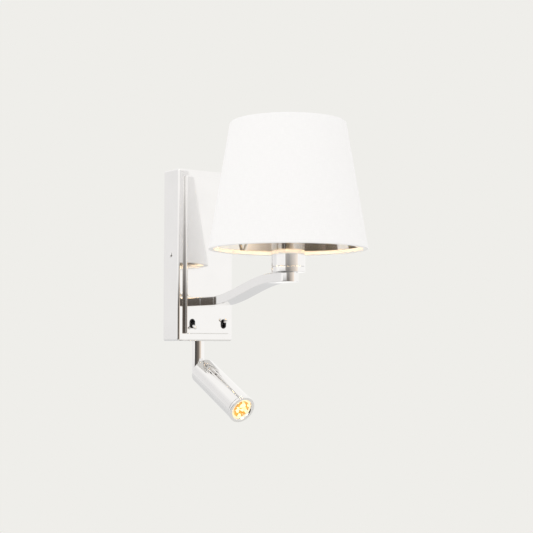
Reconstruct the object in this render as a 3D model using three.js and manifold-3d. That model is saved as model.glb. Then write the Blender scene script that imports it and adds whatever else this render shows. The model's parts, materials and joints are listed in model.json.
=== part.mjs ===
// Wall light with a tapered shade on a swept flat arm, and a small reading spot on a stem below.
// Millimetres, +Z up. The origin is the middle of the back face, on the wall. The light looks towards -Y,
// so a "depth" below is a distance out from the wall and its place is y = -depth.

import * as THREE from 'three';
import { mergeVertices } from 'three/addons/utils/BufferGeometryUtils.js';
import Module from 'manifold-3d';

const wasm = await Module();
wasm.setup();

// ---------------------------------------------------------------- driving dimensions

const SEAT_GAP = 0.3; // left between pieces that seat on each other
const TURN_GAP = 0.2; // radial clearance of a pin or shaft in its hole

// cover box
const COVER_WIDTH = 84;
const COVER_HEIGHT = 220;
const COVER_DEPTH = 35;
const COVER_SHEET = 1.5;
const COVER_EDGE = 2.2; // rounding of the front edges
const COVER_WALL_GAP = 0.5; // between the cover's rim and the wall

// raised face panel
const PANEL_MARGIN = 9;
const PANEL_RISE = 5;
const PANEL_SHEET = 1.5;
const PANEL_STUD_HEIGHT = 88; // above and below the middle
const PANEL_STUD_RADIUS = 2;
const PANEL_STUD_TAIL = 7; // length inside the cover

// wall bracket
const BRACKET_SHEET = 2;
const BRACKET_GAP = 0.5; // to the inside of the cover
const BRACKET_FLANGE_HEIGHT = 40;
const BRACKET_FLANGE_DEPTH = 24;
const WALL_SLOT_WIDTH = 5;
const WALL_SLOT_LENGTH = 14;
const WALL_SLOT_HEIGHT = 92; // above and below the middle
const COVER_SCREW_DEPTH = 16;
const COVER_SCREW_RADIUS = 2;

// arm
const ARM_WIDTH = 24;
const ARM_THICKNESS = 11;
const ARM_ROOT_HEIGHT = -59.7;
const ARM_TIP_HEIGHT = -36.3;
const ARM_REACH = 207; // wall to the axis of the lampholder
const ARM_ROOT_STRAIGHT = 25;
const ARM_TIP_STRAIGHT = 18;
const ARM_CHANNEL_RADIUS = 3;
const NIPPLE_RADIUS = 4;
const NIPPLE_BORE_RADIUS = 2.6;
const ROOT_NIPPLE_GRIP = 11; // length inside the arm
const ROOT_NIPPLE_INNER_DEPTH = 24;
const TIP_NIPPLE_GRIP = 2.6;
const CABLE_RADIUS = 1.7;

// lampholder
const HOLDER_RADIUS = 19.7;
const HOLDER_SHEET = 1.2;
const HOLDER_CAP_HEIGHT = 6.2;
const HOLDER_GROOVE = 0.5;
const HOLDER_SHELL_HEIGHT = 44;
const HOLDER_NECK_RADIUS = 17;
const HOLDER_NECK_HEIGHT = 14;
const HOLDER_CAP_FLOOR = 2;
const HOLDER_SPIGOT_LENGTH = 5; // cap inside the shell
const SCREW_SHELL_SHEET = 0.4;
const CONTACT_ROOM = 7; // below the bulb's cap
const INSULATOR_BASE = 4.8;
const CONTACT = { radius: 6, sheet: 1, crown: 2.5, rise: 4.2, height: 4.6 };

// bulb
const BULB_CAP_RADIUS = 12.9;
const BULB_CAP_HEIGHT = 26;
const BULB_RADIUS = 30;
const BULB_BODY_HEIGHT = 26;
const BULB_GLOBE_HEIGHT = 52;
const BULB_GLASS = 1;

// shade
const SHADE_BOTTOM_RADIUS = 93.5;
const SHADE_TOP_RADIUS = 68.5;
const SHADE_HEIGHT = 149;
const SHADE_BOTTOM = -4; // height of the lower rim
const SHADE_FABRIC = 0.8;
const SHADE_LINING = 0.6;
const SHADE_WIRE_RADIUS = 1.5;
const SPIDER_RING_THICKNESS = 2;
const SPIDER_RING_OVERHANG = 3.2; // past the lampholder
const SPIDER_ARMS = 3;
const SPIDER_BEND_INSET = 14; // from the lower rim to where an arm turns level
const SHADE_NUT_HEIGHT = 6;
const SHADE_NUT_WIDTH = 3.8;
const SHADE_NUT_NOTCHES = 12;
const SHADE_NUT_NOTCH_RADIUS = 1.6;

// switches
const SWITCH_SPACING = 48;
const SWITCH_HEIGHT = -88;
const SWITCH_WIDTH = 8.4;
const SWITCH_LENGTH = 12;
const SWITCH_PROUD = 0.4;
const SWITCH_PIVOT_INSET = 3.2; // behind the panel's face
const SWITCH_SLOT_WIDTH = 4.4;
const SWITCH_SLOT_LENGTH = 9.4;
const SWITCH_PIN_RADIUS = 0.6;
const LEVER_LENGTH = 13;
const LEVER_RADIUS = 1.4;
const LEVER_TIP_RADIUS = 2.3;
const LEVER_TILT = 28;
const LEVER_HUB_RADIUS = 1.9;
const SWITCH_BODY = { width: 13, height: 19, depth: 10 };

// spot stem
const STEM_RADIUS = 8;
const STEM_BORE_RADIUS = 5;
const STEM_DEPTH = 17.4; // wall to the stem's axis
const STEM_DROP = 32; // cover's underside to the tilt pin
const STEM_TOP = 16; // above the cover's underside
const STEM_CABLE_RADIUS = 1.4;
const BUSH_RADIUS = 12;
const BUSH_HEIGHT = 8.2;
const STOP_PIN_RADIUS = 1.2;
const STOP_NOTCH_HEIGHT = 3.4;
const STOP_PIN_INSET = 0.8; // short of the bush's outside
const WASHER_THICKNESS = 1;
const CIRCLIP_THICKNESS = 1.2;
const CIRCLIP_GROOVE_DEPTH = 1;

// spot head
const HEAD_TILT = 28; // below level, at rest
const HEAD_RADIUS = 17;
const HEAD_SHEET = 2;
const HEAD_REAR_SHEET = 3;
const HEAD_OFFSET = 13.8; // tilt pin to the rear face
const HEAD_CAN_LENGTH = 93;
const HEAD_EDGE = 1.2;
const TONGUE_THICKNESS = 5;
const TONGUE_WIDTH = 12;
const CLEVIS_SLOT = 5.6;
const CLEVIS_DEPTH = 9.5; // slot's roof above the tilt pin
const CLEVIS_WEB = 4; // solid left between the slot and the stem's bore
const TILT_PIN_RADIUS = 2;
const TONGUE_FOOT_RADIUS = 7;
const TONGUE_FOOT_HEIGHT = 2;
const TONGUE_SPIGOT_RADIUS = 3;
const TONGUE_SPIGOT_TAIL = 6; // past the can's rear wall
const BEZEL_RADIUS = 17.7;
const BEZEL_LENGTH = 4.2;
const BEZEL_OPENING_RADIUS = 12.9;
const BEZEL_SPIGOT_LENGTH = 7;
const BEZEL_SPIGOT_WALL = 1;
const LENS_INSET = 2.2; // behind the bezel's front
const LENS_THICKNESS = 2.2;
const REFLECTOR_LENGTH = 14;
const REFLECTOR_THROAT_RADIUS = 5.6;
const REFLECTOR_WALL = 0.9;
const LED_RADIUS = 4.6;
const LED_HEIGHT = 1.1;
const LED_BOARD_THICKNESS = 1.6;
const HEATSINK_LENGTH = 18;
const HEATSINK_BORE_RADIUS = 2.2;
const HEATSINK_GROOVES = 3;
const HEATSINK_GROOVE_DEPTH = 4;
const HEAD_CABLE_RADIUS = 1.2;

// box contents
const DRIVER = { width: 40, height: 70, depth: 20, middle: 8 };
const DRIVER_FOOT = { width: 20, length: 9, thickness: 2.5, hole: 1.8, corner: 3 };
const TERMINAL = { width: 32, height: 16, depth: 14, x: -14, middle: 66 };
const TERMINAL_WAYS = { count: 3, radius: 1.8, screwRadius: 1.6 };
const ENTRY = { x: 22, height: 78, radius: 6 };
const GROMMET_LIP = 2;
const EARTH = { x: 24, height: 56, radius: 2 };
const EARTH_TAG = { eyeRadius: 4.2, sheet: 0.8, tailWidth: 5, tailLength: 11 };
const WIRE_RADIUS = 1;

// fasteners
const ROUND_HEAD = { radius: 3.2, height: 1.1 };
const PAN_HEAD = { height: 1.8, rim: 0.8 };
const DRIVER_SCREW = { radius: 1.5, head: 2.8 };
const EARTH_SCREW_HEAD = 3.6;
const SLOT_WIDTH = 0.8;
const PANEL_NUT = { flats: 7, height: 3.2 };
const ARM_NUT = { flats: 13, height: 5.5 };
const ARM_WASHER = { radius: 10, thickness: 1.5 };
const HOLDER_NUT = { flats: 12, height: 3.7 };
const TONGUE_NUT = { flats: 10, height: 4.2 };

const THROUGH = 1; // how far a cutting tool stands past the face it cuts

// facets of round pieces
const FINE = 32;
const MEDIUM = 20;
const COARSE = 12;
const WIRE_SIDES = 6;

// ---------------------------------------------------------------- places worked out from them

const halfWidth = COVER_WIDTH / 2;
const halfHeight = COVER_HEIGHT / 2;
const coverInside = COVER_DEPTH - COVER_SHEET;
const panelBack = COVER_DEPTH + SEAT_GAP;
const panelFace = panelBack + PANEL_RISE;
const armRootDepth = panelFace + SEAT_GAP;
const armTop = ARM_TIP_HEIGHT + ARM_THICKNESS / 2;
const holderBase = armTop + SEAT_GAP;
const shellBase = holderBase + HOLDER_CAP_HEIGHT + HOLDER_GROOVE;
const shoulder = shellBase + HOLDER_SHELL_HEIGHT;
const neckTop = shoulder + HOLDER_NECK_HEIGHT;
const spiderBase = shoulder + SEAT_GAP;
const spiderTop = spiderBase + SPIDER_RING_THICKNESS;
const underside = -halfHeight;
const pivotHeight = underside - STEM_DROP;
const canFront = HEAD_OFFSET + HEAD_CAN_LENGTH;
const bezelBack = canFront + SEAT_GAP;
const bezelFront = bezelBack + BEZEL_LENGTH;

// ---------------------------------------------------------------- shape helpers

function toSolid(geometry) {
  const bare = geometry.clone();
  bare.deleteAttribute('normal');
  bare.deleteAttribute('uv');
  const merged = mergeVertices(bare, 1e-4);
  const corners = Array.from(merged.index.array);
  const triVerts = [];
  for (let i = 0; i < corners.length; i += 3) {
    const [a, b, c] = corners.slice(i, i + 3);
    if (a !== b && b !== c && c !== a) triVerts.push(a, b, c);
  }
  const mesh = new wasm.Mesh({
    numProp: 3,
    vertProperties: new Float32Array(merged.attributes.position.array),
    triVerts: new Uint32Array(triVerts),
  });
  return new wasm.Manifold(mesh);
}

function toGeometry(solid) {
  const mesh = solid.getMesh();
  const geometry = new THREE.BufferGeometry();
  geometry.setAttribute('position', new THREE.BufferAttribute(mesh.vertProperties, 3));
  geometry.setIndex(new THREE.BufferAttribute(mesh.triVerts, 1));
  geometry.computeVertexNormals();
  return geometry;
}

function cut(body, ...tools) {
  return toGeometry(tools.reduce((solid, tool) => solid.subtract(toSolid(tool)), toSolid(body)));
}

function join(body, ...others) {
  return toGeometry(others.reduce((solid, other) => solid.add(toSolid(other)), toSolid(body)));
}

// Turned about Z from [radius, height] points that run up the outside.
function turned(profile, segments = MEDIUM) {
  const points = profile.map(([radius, height]) => new THREE.Vector2(radius, height));
  return new THREE.LatheGeometry(points, segments).rotateX(Math.PI / 2);
}

function disc(radius, bottom, top, segments = MEDIUM) {
  return turned([[0, bottom], [radius, bottom], [radius, top], [0, top]], segments);
}

function ring(inner, outer, bottom, top, segments = MEDIUM) {
  return turned([[inner, bottom], [outer, bottom], [outer, top], [inner, top], [inner, bottom]], segments);
}

function wireRing(radius, height, wire, segments = FINE) {
  const profile = [];
  for (let i = 0; i <= WIRE_SIDES; i += 1) {
    const angle = (2 * Math.PI * i) / WIRE_SIDES;
    profile.push([radius + wire * Math.cos(angle), height + wire * Math.sin(angle)]);
  }
  return turned(profile, segments);
}

function block(x, y, z, width, depth, height) {
  return new THREE.BoxGeometry(width, depth, height).translate(x, y, z);
}

// A rod whose axis is X, about the origin.
function crossRod(radius, length, segments = COARSE) {
  return disc(radius, -length / 2, length / 2, segments).rotateY(Math.PI / 2);
}

// A rod that runs out from the wall between two depths.
function outwardRod(radius, from, to, segments = COARSE) {
  return disc(radius, from, to, segments).rotateX(Math.PI / 2);
}

// An outline in (x, z), carried out from the wall between two depths.
function outward(shape, from, to) {
  const options = { depth: to - from, bevelEnabled: false, curveSegments: 3 };
  return new THREE.ExtrudeGeometry(shape, options).rotateX(Math.PI / 2).translate(0, -from, 0);
}

function roundedOutline(width, height, corner) {
  const x = width / 2 - corner;
  const z = height / 2 - corner;
  const quarter = Math.PI / 2;
  const shape = new THREE.Shape();
  shape.absarc(x, z, corner, 0, quarter);
  shape.absarc(-x, z, corner, quarter, 2 * quarter);
  shape.absarc(-x, -z, corner, 2 * quarter, 3 * quarter);
  shape.absarc(x, -z, corner, 3 * quarter, 4 * quarter);
  return shape;
}

// A slot outline with round ends, which keep a short flat between their arcs.
function stadium(width, height) {
  const flat = 0.01;
  return roundedOutline(width, height, Math.min(width, height) / 2 - flat);
}

function tube(curve, radius, steps) {
  const section = new THREE.Shape().absarc(0, 0, radius, 0, 2 * Math.PI);
  const options = { steps, extrudePath: curve, bevelEnabled: false, curveSegments: WIRE_SIDES / 2 };
  return new THREE.ExtrudeGeometry(section, options);
}

function routed(points, radius, steps) {
  return tube(new THREE.CatmullRomCurve3(points, false, 'centripetal'), radius, steps);
}

function hexNut(nut, bore, bottom) {
  const hexagon = disc(nut.flats / Math.sqrt(3), bottom, bottom + nut.height, 6);
  return cut(hexagon, disc(bore, bottom - THROUGH, bottom + nut.height + THROUGH, COARSE));
}

// ---------------------------------------------------------------- finishes

function finish(color, roughness, metalness) {
  return new THREE.MeshStandardMaterial({ color, roughness, metalness });
}

const polishedNickel = finish(0xe9e6e1, 0.06, 1);
const zincSteel = finish(0xb8bcc0, 0.38, 1);
const brass = finish(0xc9a24d, 0.3, 1);
const aluminium = finish(0xc4c7ca, 0.35, 1);
const blackPlastic = finish(0x0d0d0e, 0.45, 0);
const whitePlastic = finish(0xf1f0ec, 0.4, 0);
const rubber = finish(0x1b1b1b, 0.8, 0);
const ceramic = finish(0xeeebe3, 0.3, 0);
const shadeFabric = finish(0xfaf9f6, 0.85, 0);
const foilLining = finish(0xd9d3c4, 0.2, 1);
const frostedGlass = finish(0xfff4dd, 0.5, 0);
const clearGlass = finish(0xf4f7f8, 0.05, 0);
const goldReflector = finish(0xf0c36a, 0.12, 1);
const ledPhosphor = finish(0xffd86b, 0.6, 0);
const boardWhite = finish(0xf5f5f0, 0.5, 0);
const cableSheath = finish(0xe6e6e4, 0.6, 0);
const brownWire = finish(0x6b4226, 0.6, 0);

const wallLight = new THREE.Group();

function place(name, geometry, material, parent = wallLight) {
  const mesh = new THREE.Mesh(geometry, material);
  mesh.name = name;
  parent.add(mesh);
  return mesh;
}

// ---------------------------------------------------------------- cover, panel and bracket

const upAndDown = [-1, 1];
const switchSides = { left: -1, right: 1 };
const switchX = (side) => (side * SWITCH_SPACING) / 2;

function switchHole(side, from, to) {
  return outward(stadium(SWITCH_WIDTH + 2 * SEAT_GAP, SWITCH_LENGTH + 2 * SEAT_GAP), from, to)
    .translate(switchX(side), 0, SWITCH_HEIGHT);
}

function switchHoles(from, to) {
  return Object.values(switchSides).map((side) => switchHole(side, from, to));
}

function coverScrewHoles() {
  return crossRod(COVER_SCREW_RADIUS + TURN_GAP, 2 * COVER_WIDTH).translate(0, -COVER_SCREW_DEPTH, 0);
}

function coverBox() {
  const outline = roundedOutline(COVER_WIDTH - 2 * COVER_EDGE, COVER_HEIGHT - 2 * COVER_EDGE, 0.3);
  const rounded = new THREE.ExtrudeGeometry(outline, {
    depth: COVER_DEPTH,
    bevelSize: COVER_EDGE,
    bevelThickness: COVER_EDGE,
    bevelSegments: 3,
    curveSegments: 1,
  }).rotateX(Math.PI / 2).translate(0, COVER_EDGE, 0);
  const from = coverInside - THROUGH;
  const to = COVER_DEPTH + THROUGH;
  const behind = block(0, COVER_DEPTH - COVER_WALL_GAP, 0,
    2 * COVER_WIDTH, 2 * COVER_DEPTH, 2 * COVER_HEIGHT);
  const inside = block(0, COVER_DEPTH - coverInside, 0,
    COVER_WIDTH - 2 * COVER_SHEET, 2 * COVER_DEPTH, COVER_HEIGHT - 2 * COVER_SHEET);
  const studHoles = upAndDown.map((side) =>
    outwardRod(PANEL_STUD_RADIUS + SEAT_GAP, from, to).translate(0, 0, side * PANEL_STUD_HEIGHT));
  const nippleHole = outwardRod(NIPPLE_RADIUS + SEAT_GAP, from, to).translate(0, 0, ARM_ROOT_HEIGHT);
  const stemHole = disc(STEM_RADIUS + SEAT_GAP, underside - THROUGH, underside + COVER_SHEET + THROUGH)
    .translate(0, -STEM_DEPTH, 0);
  return cut(rounded, behind, inside, ...studHoles, coverScrewHoles(), nippleHole, stemHole,
    ...switchHoles(from, to));
}

function facePanel() {
  const width = COVER_WIDTH - 2 * PANEL_MARGIN;
  const height = COVER_HEIGHT - 2 * PANEL_MARGIN;
  const tray = block(0, -(panelBack + panelFace) / 2, 0, width, PANEL_RISE, height);
  const hollow = block(0, -(panelBack + panelFace) / 2 + PANEL_SHEET, 0,
    width - 2 * PANEL_SHEET, PANEL_RISE, height - 2 * PANEL_SHEET);
  const nippleHole = outwardRod(NIPPLE_RADIUS + SEAT_GAP, panelBack - THROUGH, panelFace + THROUGH)
    .translate(0, 0, ARM_ROOT_HEIGHT);
  const shell = cut(tray, hollow, nippleHole, ...switchHoles(panelBack - THROUGH, panelFace + THROUGH));
  const studs = upAndDown.map((side) =>
    outwardRod(PANEL_STUD_RADIUS, coverInside - PANEL_STUD_TAIL, panelFace - PANEL_SHEET / 2)
      .translate(0, 0, side * PANEL_STUD_HEIGHT));
  return join(shell, ...studs);
}

function wallBracket() {
  const plateHalf = halfWidth - COVER_SHEET - BRACKET_GAP;
  const plateHeight = COVER_HEIGHT - 2 * (COVER_SHEET + BRACKET_GAP);
  const plate = block(0, -BRACKET_SHEET / 2, 0, 2 * plateHalf, BRACKET_SHEET, plateHeight);
  const flanges = [-1, 1].map((side) =>
    block(side * (plateHalf - BRACKET_SHEET / 2), -BRACKET_FLANGE_DEPTH / 2, 0,
      BRACKET_SHEET, BRACKET_FLANGE_DEPTH, BRACKET_FLANGE_HEIGHT));
  const to = BRACKET_SHEET + THROUGH;
  const slots = upAndDown.map((side) =>
    outward(stadium(WALL_SLOT_LENGTH, WALL_SLOT_WIDTH), -THROUGH, to)
      .translate(0, 0, side * WALL_SLOT_HEIGHT));
  const entry = outwardRod(ENTRY.radius, -THROUGH, to).translate(ENTRY.x, 0, ENTRY.height);
  const earth = outwardRod(EARTH.radius + TURN_GAP, -THROUGH, to).translate(EARTH.x, 0, EARTH.height);
  return cut(join(plate, ...flanges), ...slots, entry, earth, coverScrewHoles());
}

// A low round head outside the cover and a shank that reaches through the bracket's flange.
function coverScrew(side) {
  const { radius, height } = ROUND_HEAD;
  const seat = halfWidth + SEAT_GAP;
  const inner = halfWidth - COVER_SHEET - BRACKET_GAP - 2 * BRACKET_SHEET;
  const screw = turned([
    [0, inner], [COVER_SCREW_RADIUS, inner], [COVER_SCREW_RADIUS, seat], [radius, seat],
    [radius * 0.85, seat + height * 0.7], [radius * 0.5, seat + height], [0, seat + height],
  ], COARSE);
  const slot = block(0, 0, seat + height, SLOT_WIDTH, 3 * radius, height);
  return cut(screw, slot).rotateY((side * Math.PI) / 2).translate(0, -COVER_SCREW_DEPTH, 0);
}

function panelNut(side) {
  const back = coverInside - SEAT_GAP - PANEL_NUT.height;
  return hexNut(PANEL_NUT, PANEL_STUD_RADIUS + TURN_GAP, back).rotateX(Math.PI / 2)
    .translate(0, 0, side * PANEL_STUD_HEIGHT);
}

place('wall_bracket', wallBracket(), zincSteel);
place('cover_box', coverBox(), polishedNickel);
place('face_panel', facePanel(), polishedNickel);
place('cover_screw_left', coverScrew(-1), polishedNickel);
place('cover_screw_right', coverScrew(1), polishedNickel);
place('panel_nut_upper', panelNut(1), zincSteel);
place('panel_nut_lower', panelNut(-1), zincSteel);

// ---------------------------------------------------------------- box contents

const bracketSeat = BRACKET_SHEET + SEAT_GAP; // depth of what rests on the bracket
const driverScrewOffset = DRIVER.height / 2 + DRIVER_FOOT.length / 2;

function terminalBlock() {
  const { width, height, depth, x, middle } = TERMINAL;
  const { count, radius, screwRadius } = TERMINAL_WAYS;
  const centre = bracketSeat + depth / 2;
  const body = block(x, -centre, middle, width, depth, height);
  const holes = [];
  for (let way = 0; way < count; way += 1) {
    const wayX = x + ((way + 0.5) / count - 0.5) * width;
    holes.push(disc(radius, -height, height, COARSE).translate(wayX, -centre, middle));
    holes.push(outwardRod(screwRadius, centre, centre + depth).translate(wayX, 0, middle));
  }
  return cut(body, ...holes);
}

function ledDriver() {
  const { width, length, thickness, hole, corner } = DRIVER_FOOT;
  const caseOutline = roundedOutline(DRIVER.width, DRIVER.height, corner);
  const feetOutline = roundedOutline(width, DRIVER.height + 2 * length, corner);
  const body = outward(caseOutline, bracketSeat, bracketSeat + DRIVER.depth);
  const feet = outward(feetOutline, bracketSeat, bracketSeat + thickness);
  const holes = upAndDown.map((side) =>
    outwardRod(hole, bracketSeat - THROUGH, bracketSeat + thickness + THROUGH)
      .translate(0, 0, side * driverScrewOffset));
  return cut(join(body, feet), ...holes).translate(0, 0, DRIVER.middle);
}

// A slotted pan-head screw that runs out from the wall, its head seated at the given depth.
function panScrew(shank, head, from, seat) {
  const top = seat + PAN_HEAD.height;
  const rim = seat + PAN_HEAD.rim;
  const screw = turned([
    [0, from], [shank, from], [shank, seat], [head, seat], [head, rim], [head * 0.7, top], [0, top],
  ], COARSE);
  return cut(screw, block(0, 0, top, SLOT_WIDTH, 3 * head, PAN_HEAD.rim)).rotateX(Math.PI / 2);
}

function cableGrommet() {
  const inner = ENTRY.radius - GROMMET_LIP;
  const neck = ENTRY.radius - TURN_GAP;
  const lip = ENTRY.radius + GROMMET_LIP;
  const top = bracketSeat + GROMMET_LIP;
  return turned([
    [inner, SEAT_GAP], [neck, SEAT_GAP], [neck, bracketSeat], [lip, bracketSeat], [lip, top], [inner, top],
    [inner, SEAT_GAP],
  ], COARSE).rotateX(Math.PI / 2).translate(ENTRY.x, 0, ENTRY.height);
}

function earthTag() {
  const { eyeRadius, sheet, tailWidth, tailLength } = EARTH_TAG;
  const eye = outwardRod(eyeRadius, bracketSeat, bracketSeat + sheet);
  const tailMiddle = (eyeRadius + tailLength) / 2;
  const tail = block(0, -bracketSeat - sheet / 2, tailMiddle, tailWidth, sheet, tailLength);
  const hole = outwardRod(EARTH.radius + TURN_GAP, bracketSeat - THROUGH, bracketSeat + sheet + THROUGH);
  return cut(join(eye, tail), hole).translate(EARTH.x, 0, EARTH.height);
}

function driverScrew() {
  return panScrew(DRIVER_SCREW.radius, DRIVER_SCREW.head, bracketSeat,
    bracketSeat + DRIVER_FOOT.thickness + SEAT_GAP);
}

const earthScrewSeat = bracketSeat + EARTH_TAG.sheet + SEAT_GAP;
const earthScrew = panScrew(EARTH.radius, EARTH_SCREW_HEAD, SEAT_GAP, earthScrewSeat);

place('terminal_block', terminalBlock(), whitePlastic);
place('led_driver', ledDriver(), whitePlastic);
place('driver_screw_upper', driverScrew(), zincSteel).position.z = DRIVER.middle + driverScrewOffset;
place('driver_screw_lower', driverScrew(), zincSteel).position.z = DRIVER.middle - driverScrewOffset;
place('entry_grommet', cableGrommet(), rubber);
place('earth_tag', earthTag(), brass);
place('earth_screw', earthScrew, brass).position.set(EARTH.x, 0, EARTH.height);

// ---------------------------------------------------------------- arm

const sweepFrom = armRootDepth + ARM_ROOT_STRAIGHT;
const sweepTo = ARM_REACH - ARM_TIP_STRAIGHT;

// The arm's middle line as [depth, height]: level, a gentle S, level again.
function armLine(facets = 14) {
  const third = (sweepTo - sweepFrom) / 3;
  const sweep = new THREE.CubicBezierCurve(
    new THREE.Vector2(sweepFrom, ARM_ROOT_HEIGHT), new THREE.Vector2(sweepFrom + third, ARM_ROOT_HEIGHT),
    new THREE.Vector2(sweepTo - third, ARM_TIP_HEIGHT), new THREE.Vector2(sweepTo, ARM_TIP_HEIGHT));
  const points = [];
  for (let i = 0; i <= facets; i += 1) {
    const point = sweep.getPoint(i / facets);
    const tangent = sweep.getTangent(i / facets);
    points.push({ point, normal: new THREE.Vector2(-tangent.y, tangent.x) });
  }
  const up = new THREE.Vector2(0, 1);
  points.unshift({ point: new THREE.Vector2(armRootDepth, ARM_ROOT_HEIGHT), normal: up });
  points.push({ point: new THREE.Vector2(ARM_REACH, ARM_TIP_HEIGHT), normal: up });
  return points;
}

function sweptArm() {
  const line = armLine();
  const side = (offset) => line.map(({ point, normal }) => point.clone().addScaledVector(normal, offset));
  const outline = new THREE.Shape([...side(-ARM_THICKNESS / 2), ...side(ARM_THICKNESS / 2).reverse()]);
  const toPlace = new THREE.Matrix4().makeBasis(
    new THREE.Vector3(0, -1, 0), new THREE.Vector3(0, 0, 1), new THREE.Vector3(-1, 0, 0));
  const bar = new THREE.ExtrudeGeometry(outline, { depth: ARM_WIDTH, bevelEnabled: false })
    .translate(0, 0, -ARM_WIDTH / 2).applyMatrix4(toPlace);
  const end = disc(ARM_WIDTH / 2, ARM_TIP_HEIGHT - ARM_THICKNESS / 2, armTop).translate(0, -ARM_REACH, 0);
  const channelLine = line.map(({ point }) => new THREE.Vector3(0, -point.x, point.y));
  channelLine[0].y += THROUGH;
  const channel = tube(new THREE.CatmullRomCurve3(channelLine, false, 'centripetal'), ARM_CHANNEL_RADIUS, 20);
  const bore = NIPPLE_RADIUS + SEAT_GAP;
  const rootBore = outwardRod(bore, armRootDepth - THROUGH, armRootDepth + ROOT_NIPPLE_GRIP + SEAT_GAP)
    .translate(0, 0, ARM_ROOT_HEIGHT);
  const tipBore = disc(bore, ARM_TIP_HEIGHT - ARM_CHANNEL_RADIUS, armTop + THROUGH, COARSE)
    .translate(0, -ARM_REACH, 0);
  return cut(join(bar, end), channel, rootBore, tipBore);
}

function rootNipple() {
  const end = armRootDepth + ROOT_NIPPLE_GRIP;
  return ring(NIPPLE_BORE_RADIUS, NIPPLE_RADIUS, ROOT_NIPPLE_INNER_DEPTH, end, COARSE)
    .rotateX(Math.PI / 2).translate(0, 0, ARM_ROOT_HEIGHT);
}

const washerFront = coverInside - SEAT_GAP;
const washerBack = washerFront - ARM_WASHER.thickness;
const armNutBack = washerBack - SEAT_GAP - ARM_NUT.height;
const armWasher = ring(NIPPLE_RADIUS + TURN_GAP, ARM_WASHER.radius, washerBack, washerFront, COARSE)
  .rotateX(Math.PI / 2).translate(0, 0, ARM_ROOT_HEIGHT);
const armNut = hexNut(ARM_NUT, NIPPLE_RADIUS + TURN_GAP, armNutBack)
  .rotateX(Math.PI / 2).translate(0, 0, ARM_ROOT_HEIGHT);

place('arm', sweptArm(), polishedNickel);
place('arm_nipple', rootNipple(), zincSteel);
place('arm_washer', armWasher, zincSteel);
place('arm_nut', armNut, zincSteel);

// ---------------------------------------------------------------- lampholder

const holder = new THREE.Group();
holder.position.y = -ARM_REACH;
wallLight.add(holder);

const holderInner = HOLDER_RADIUS - HOLDER_SHEET;
const neckInner = HOLDER_NECK_RADIUS - HOLDER_SHEET;
const insulatorRadius = neckInner - SEAT_GAP;
const capFloor = holderBase + HOLDER_CAP_FLOOR;
const screwShellRadius = BULB_CAP_RADIUS + SEAT_GAP + SCREW_SHELL_SHEET;

function holderCap() {
  const base = holderBase;
  const top = base + HOLDER_CAP_HEIGHT;
  const spigot = holderInner - TURN_GAP;
  const inner = spigot - HOLDER_SHEET;
  const spigotTop = top + HOLDER_SPIGOT_LENGTH;
  const bore = NIPPLE_RADIUS + TURN_GAP;
  const edge = HOLDER_SHEET / 2;
  return turned([
    [bore, base], [HOLDER_RADIUS - edge, base], [HOLDER_RADIUS, base + edge], [HOLDER_RADIUS, top],
    [spigot, top], [spigot, spigotTop], [inner, spigotTop], [inner, capFloor], [bore, capFloor], [bore, base],
  ], FINE);
}

function holderShell() {
  const edge = HOLDER_SHEET * 0.7;
  return turned([
    [holderInner, shellBase], [HOLDER_RADIUS, shellBase], [HOLDER_RADIUS, shoulder - edge],
    [HOLDER_RADIUS - edge, shoulder], [HOLDER_NECK_RADIUS, shoulder], [HOLDER_NECK_RADIUS, neckTop],
    [neckInner, neckTop], [neckInner, shoulder - HOLDER_SHEET], [holderInner, shoulder - HOLDER_SHEET],
    [holderInner, shellBase],
  ], FINE);
}

const bulbBottom = neckTop - BULB_CAP_HEIGHT + SEAT_GAP;
const socketFloor = bulbBottom - CONTACT_ROOM;
const insulatorFloor = socketFloor - INSULATOR_BASE;

function holderInsulator() {
  const flangeTop = shoulder - HOLDER_SHEET - SEAT_GAP;
  const flange = holderInner - SEAT_GAP;
  const socket = screwShellRadius + SEAT_GAP;
  const top = neckTop - SEAT_GAP;
  return turned([
    [0, insulatorFloor], [flange, insulatorFloor], [flange, flangeTop], [insulatorRadius, flangeTop],
    [insulatorRadius, top], [socket, top], [socket, socketFloor], [0, socketFloor],
  ]);
}

const screwShell = ring(screwShellRadius - SCREW_SHELL_SHEET, screwShellRadius, bulbBottom - 2, neckTop - 1);
const contactBase = socketFloor + SEAT_GAP;
const centreContact = turned([
  [0, contactBase], [CONTACT.radius, contactBase], [CONTACT.radius, contactBase + CONTACT.sheet],
  [CONTACT.crown, contactBase + CONTACT.rise], [0, contactBase + CONTACT.height],
], COARSE);
const holderNutBase = capFloor + SEAT_GAP;
const holderNippleTop = holderNutBase + HOLDER_NUT.height + NIPPLE_RADIUS / 2;
const holderNippleFoot = armTop - TIP_NIPPLE_GRIP;
const holderNipple = ring(NIPPLE_BORE_RADIUS, NIPPLE_RADIUS, holderNippleFoot, holderNippleTop, COARSE);
const holderNut = hexNut(HOLDER_NUT, NIPPLE_RADIUS + TURN_GAP, holderNutBase);

place('holder_nipple', holderNipple, zincSteel, holder);
place('holder_cap', holderCap(), polishedNickel, holder);
place('holder_nut', holderNut, zincSteel, holder);
place('holder_shell', holderShell(), polishedNickel, holder);
place('holder_insulator', holderInsulator(), ceramic, holder);
place('holder_screw_shell', screwShell, brass, holder);
place('holder_contact', centreContact, brass, holder);

// ---------------------------------------------------------------- bulb

const bulbCapTop = neckTop + SEAT_GAP;
const bodyBase = bulbCapTop + SEAT_GAP;
const bodyTop = bodyBase + BULB_BODY_HEIGHT;
const bulbRim = BULB_RADIUS - 2; // radius where the body meets the globe

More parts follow.
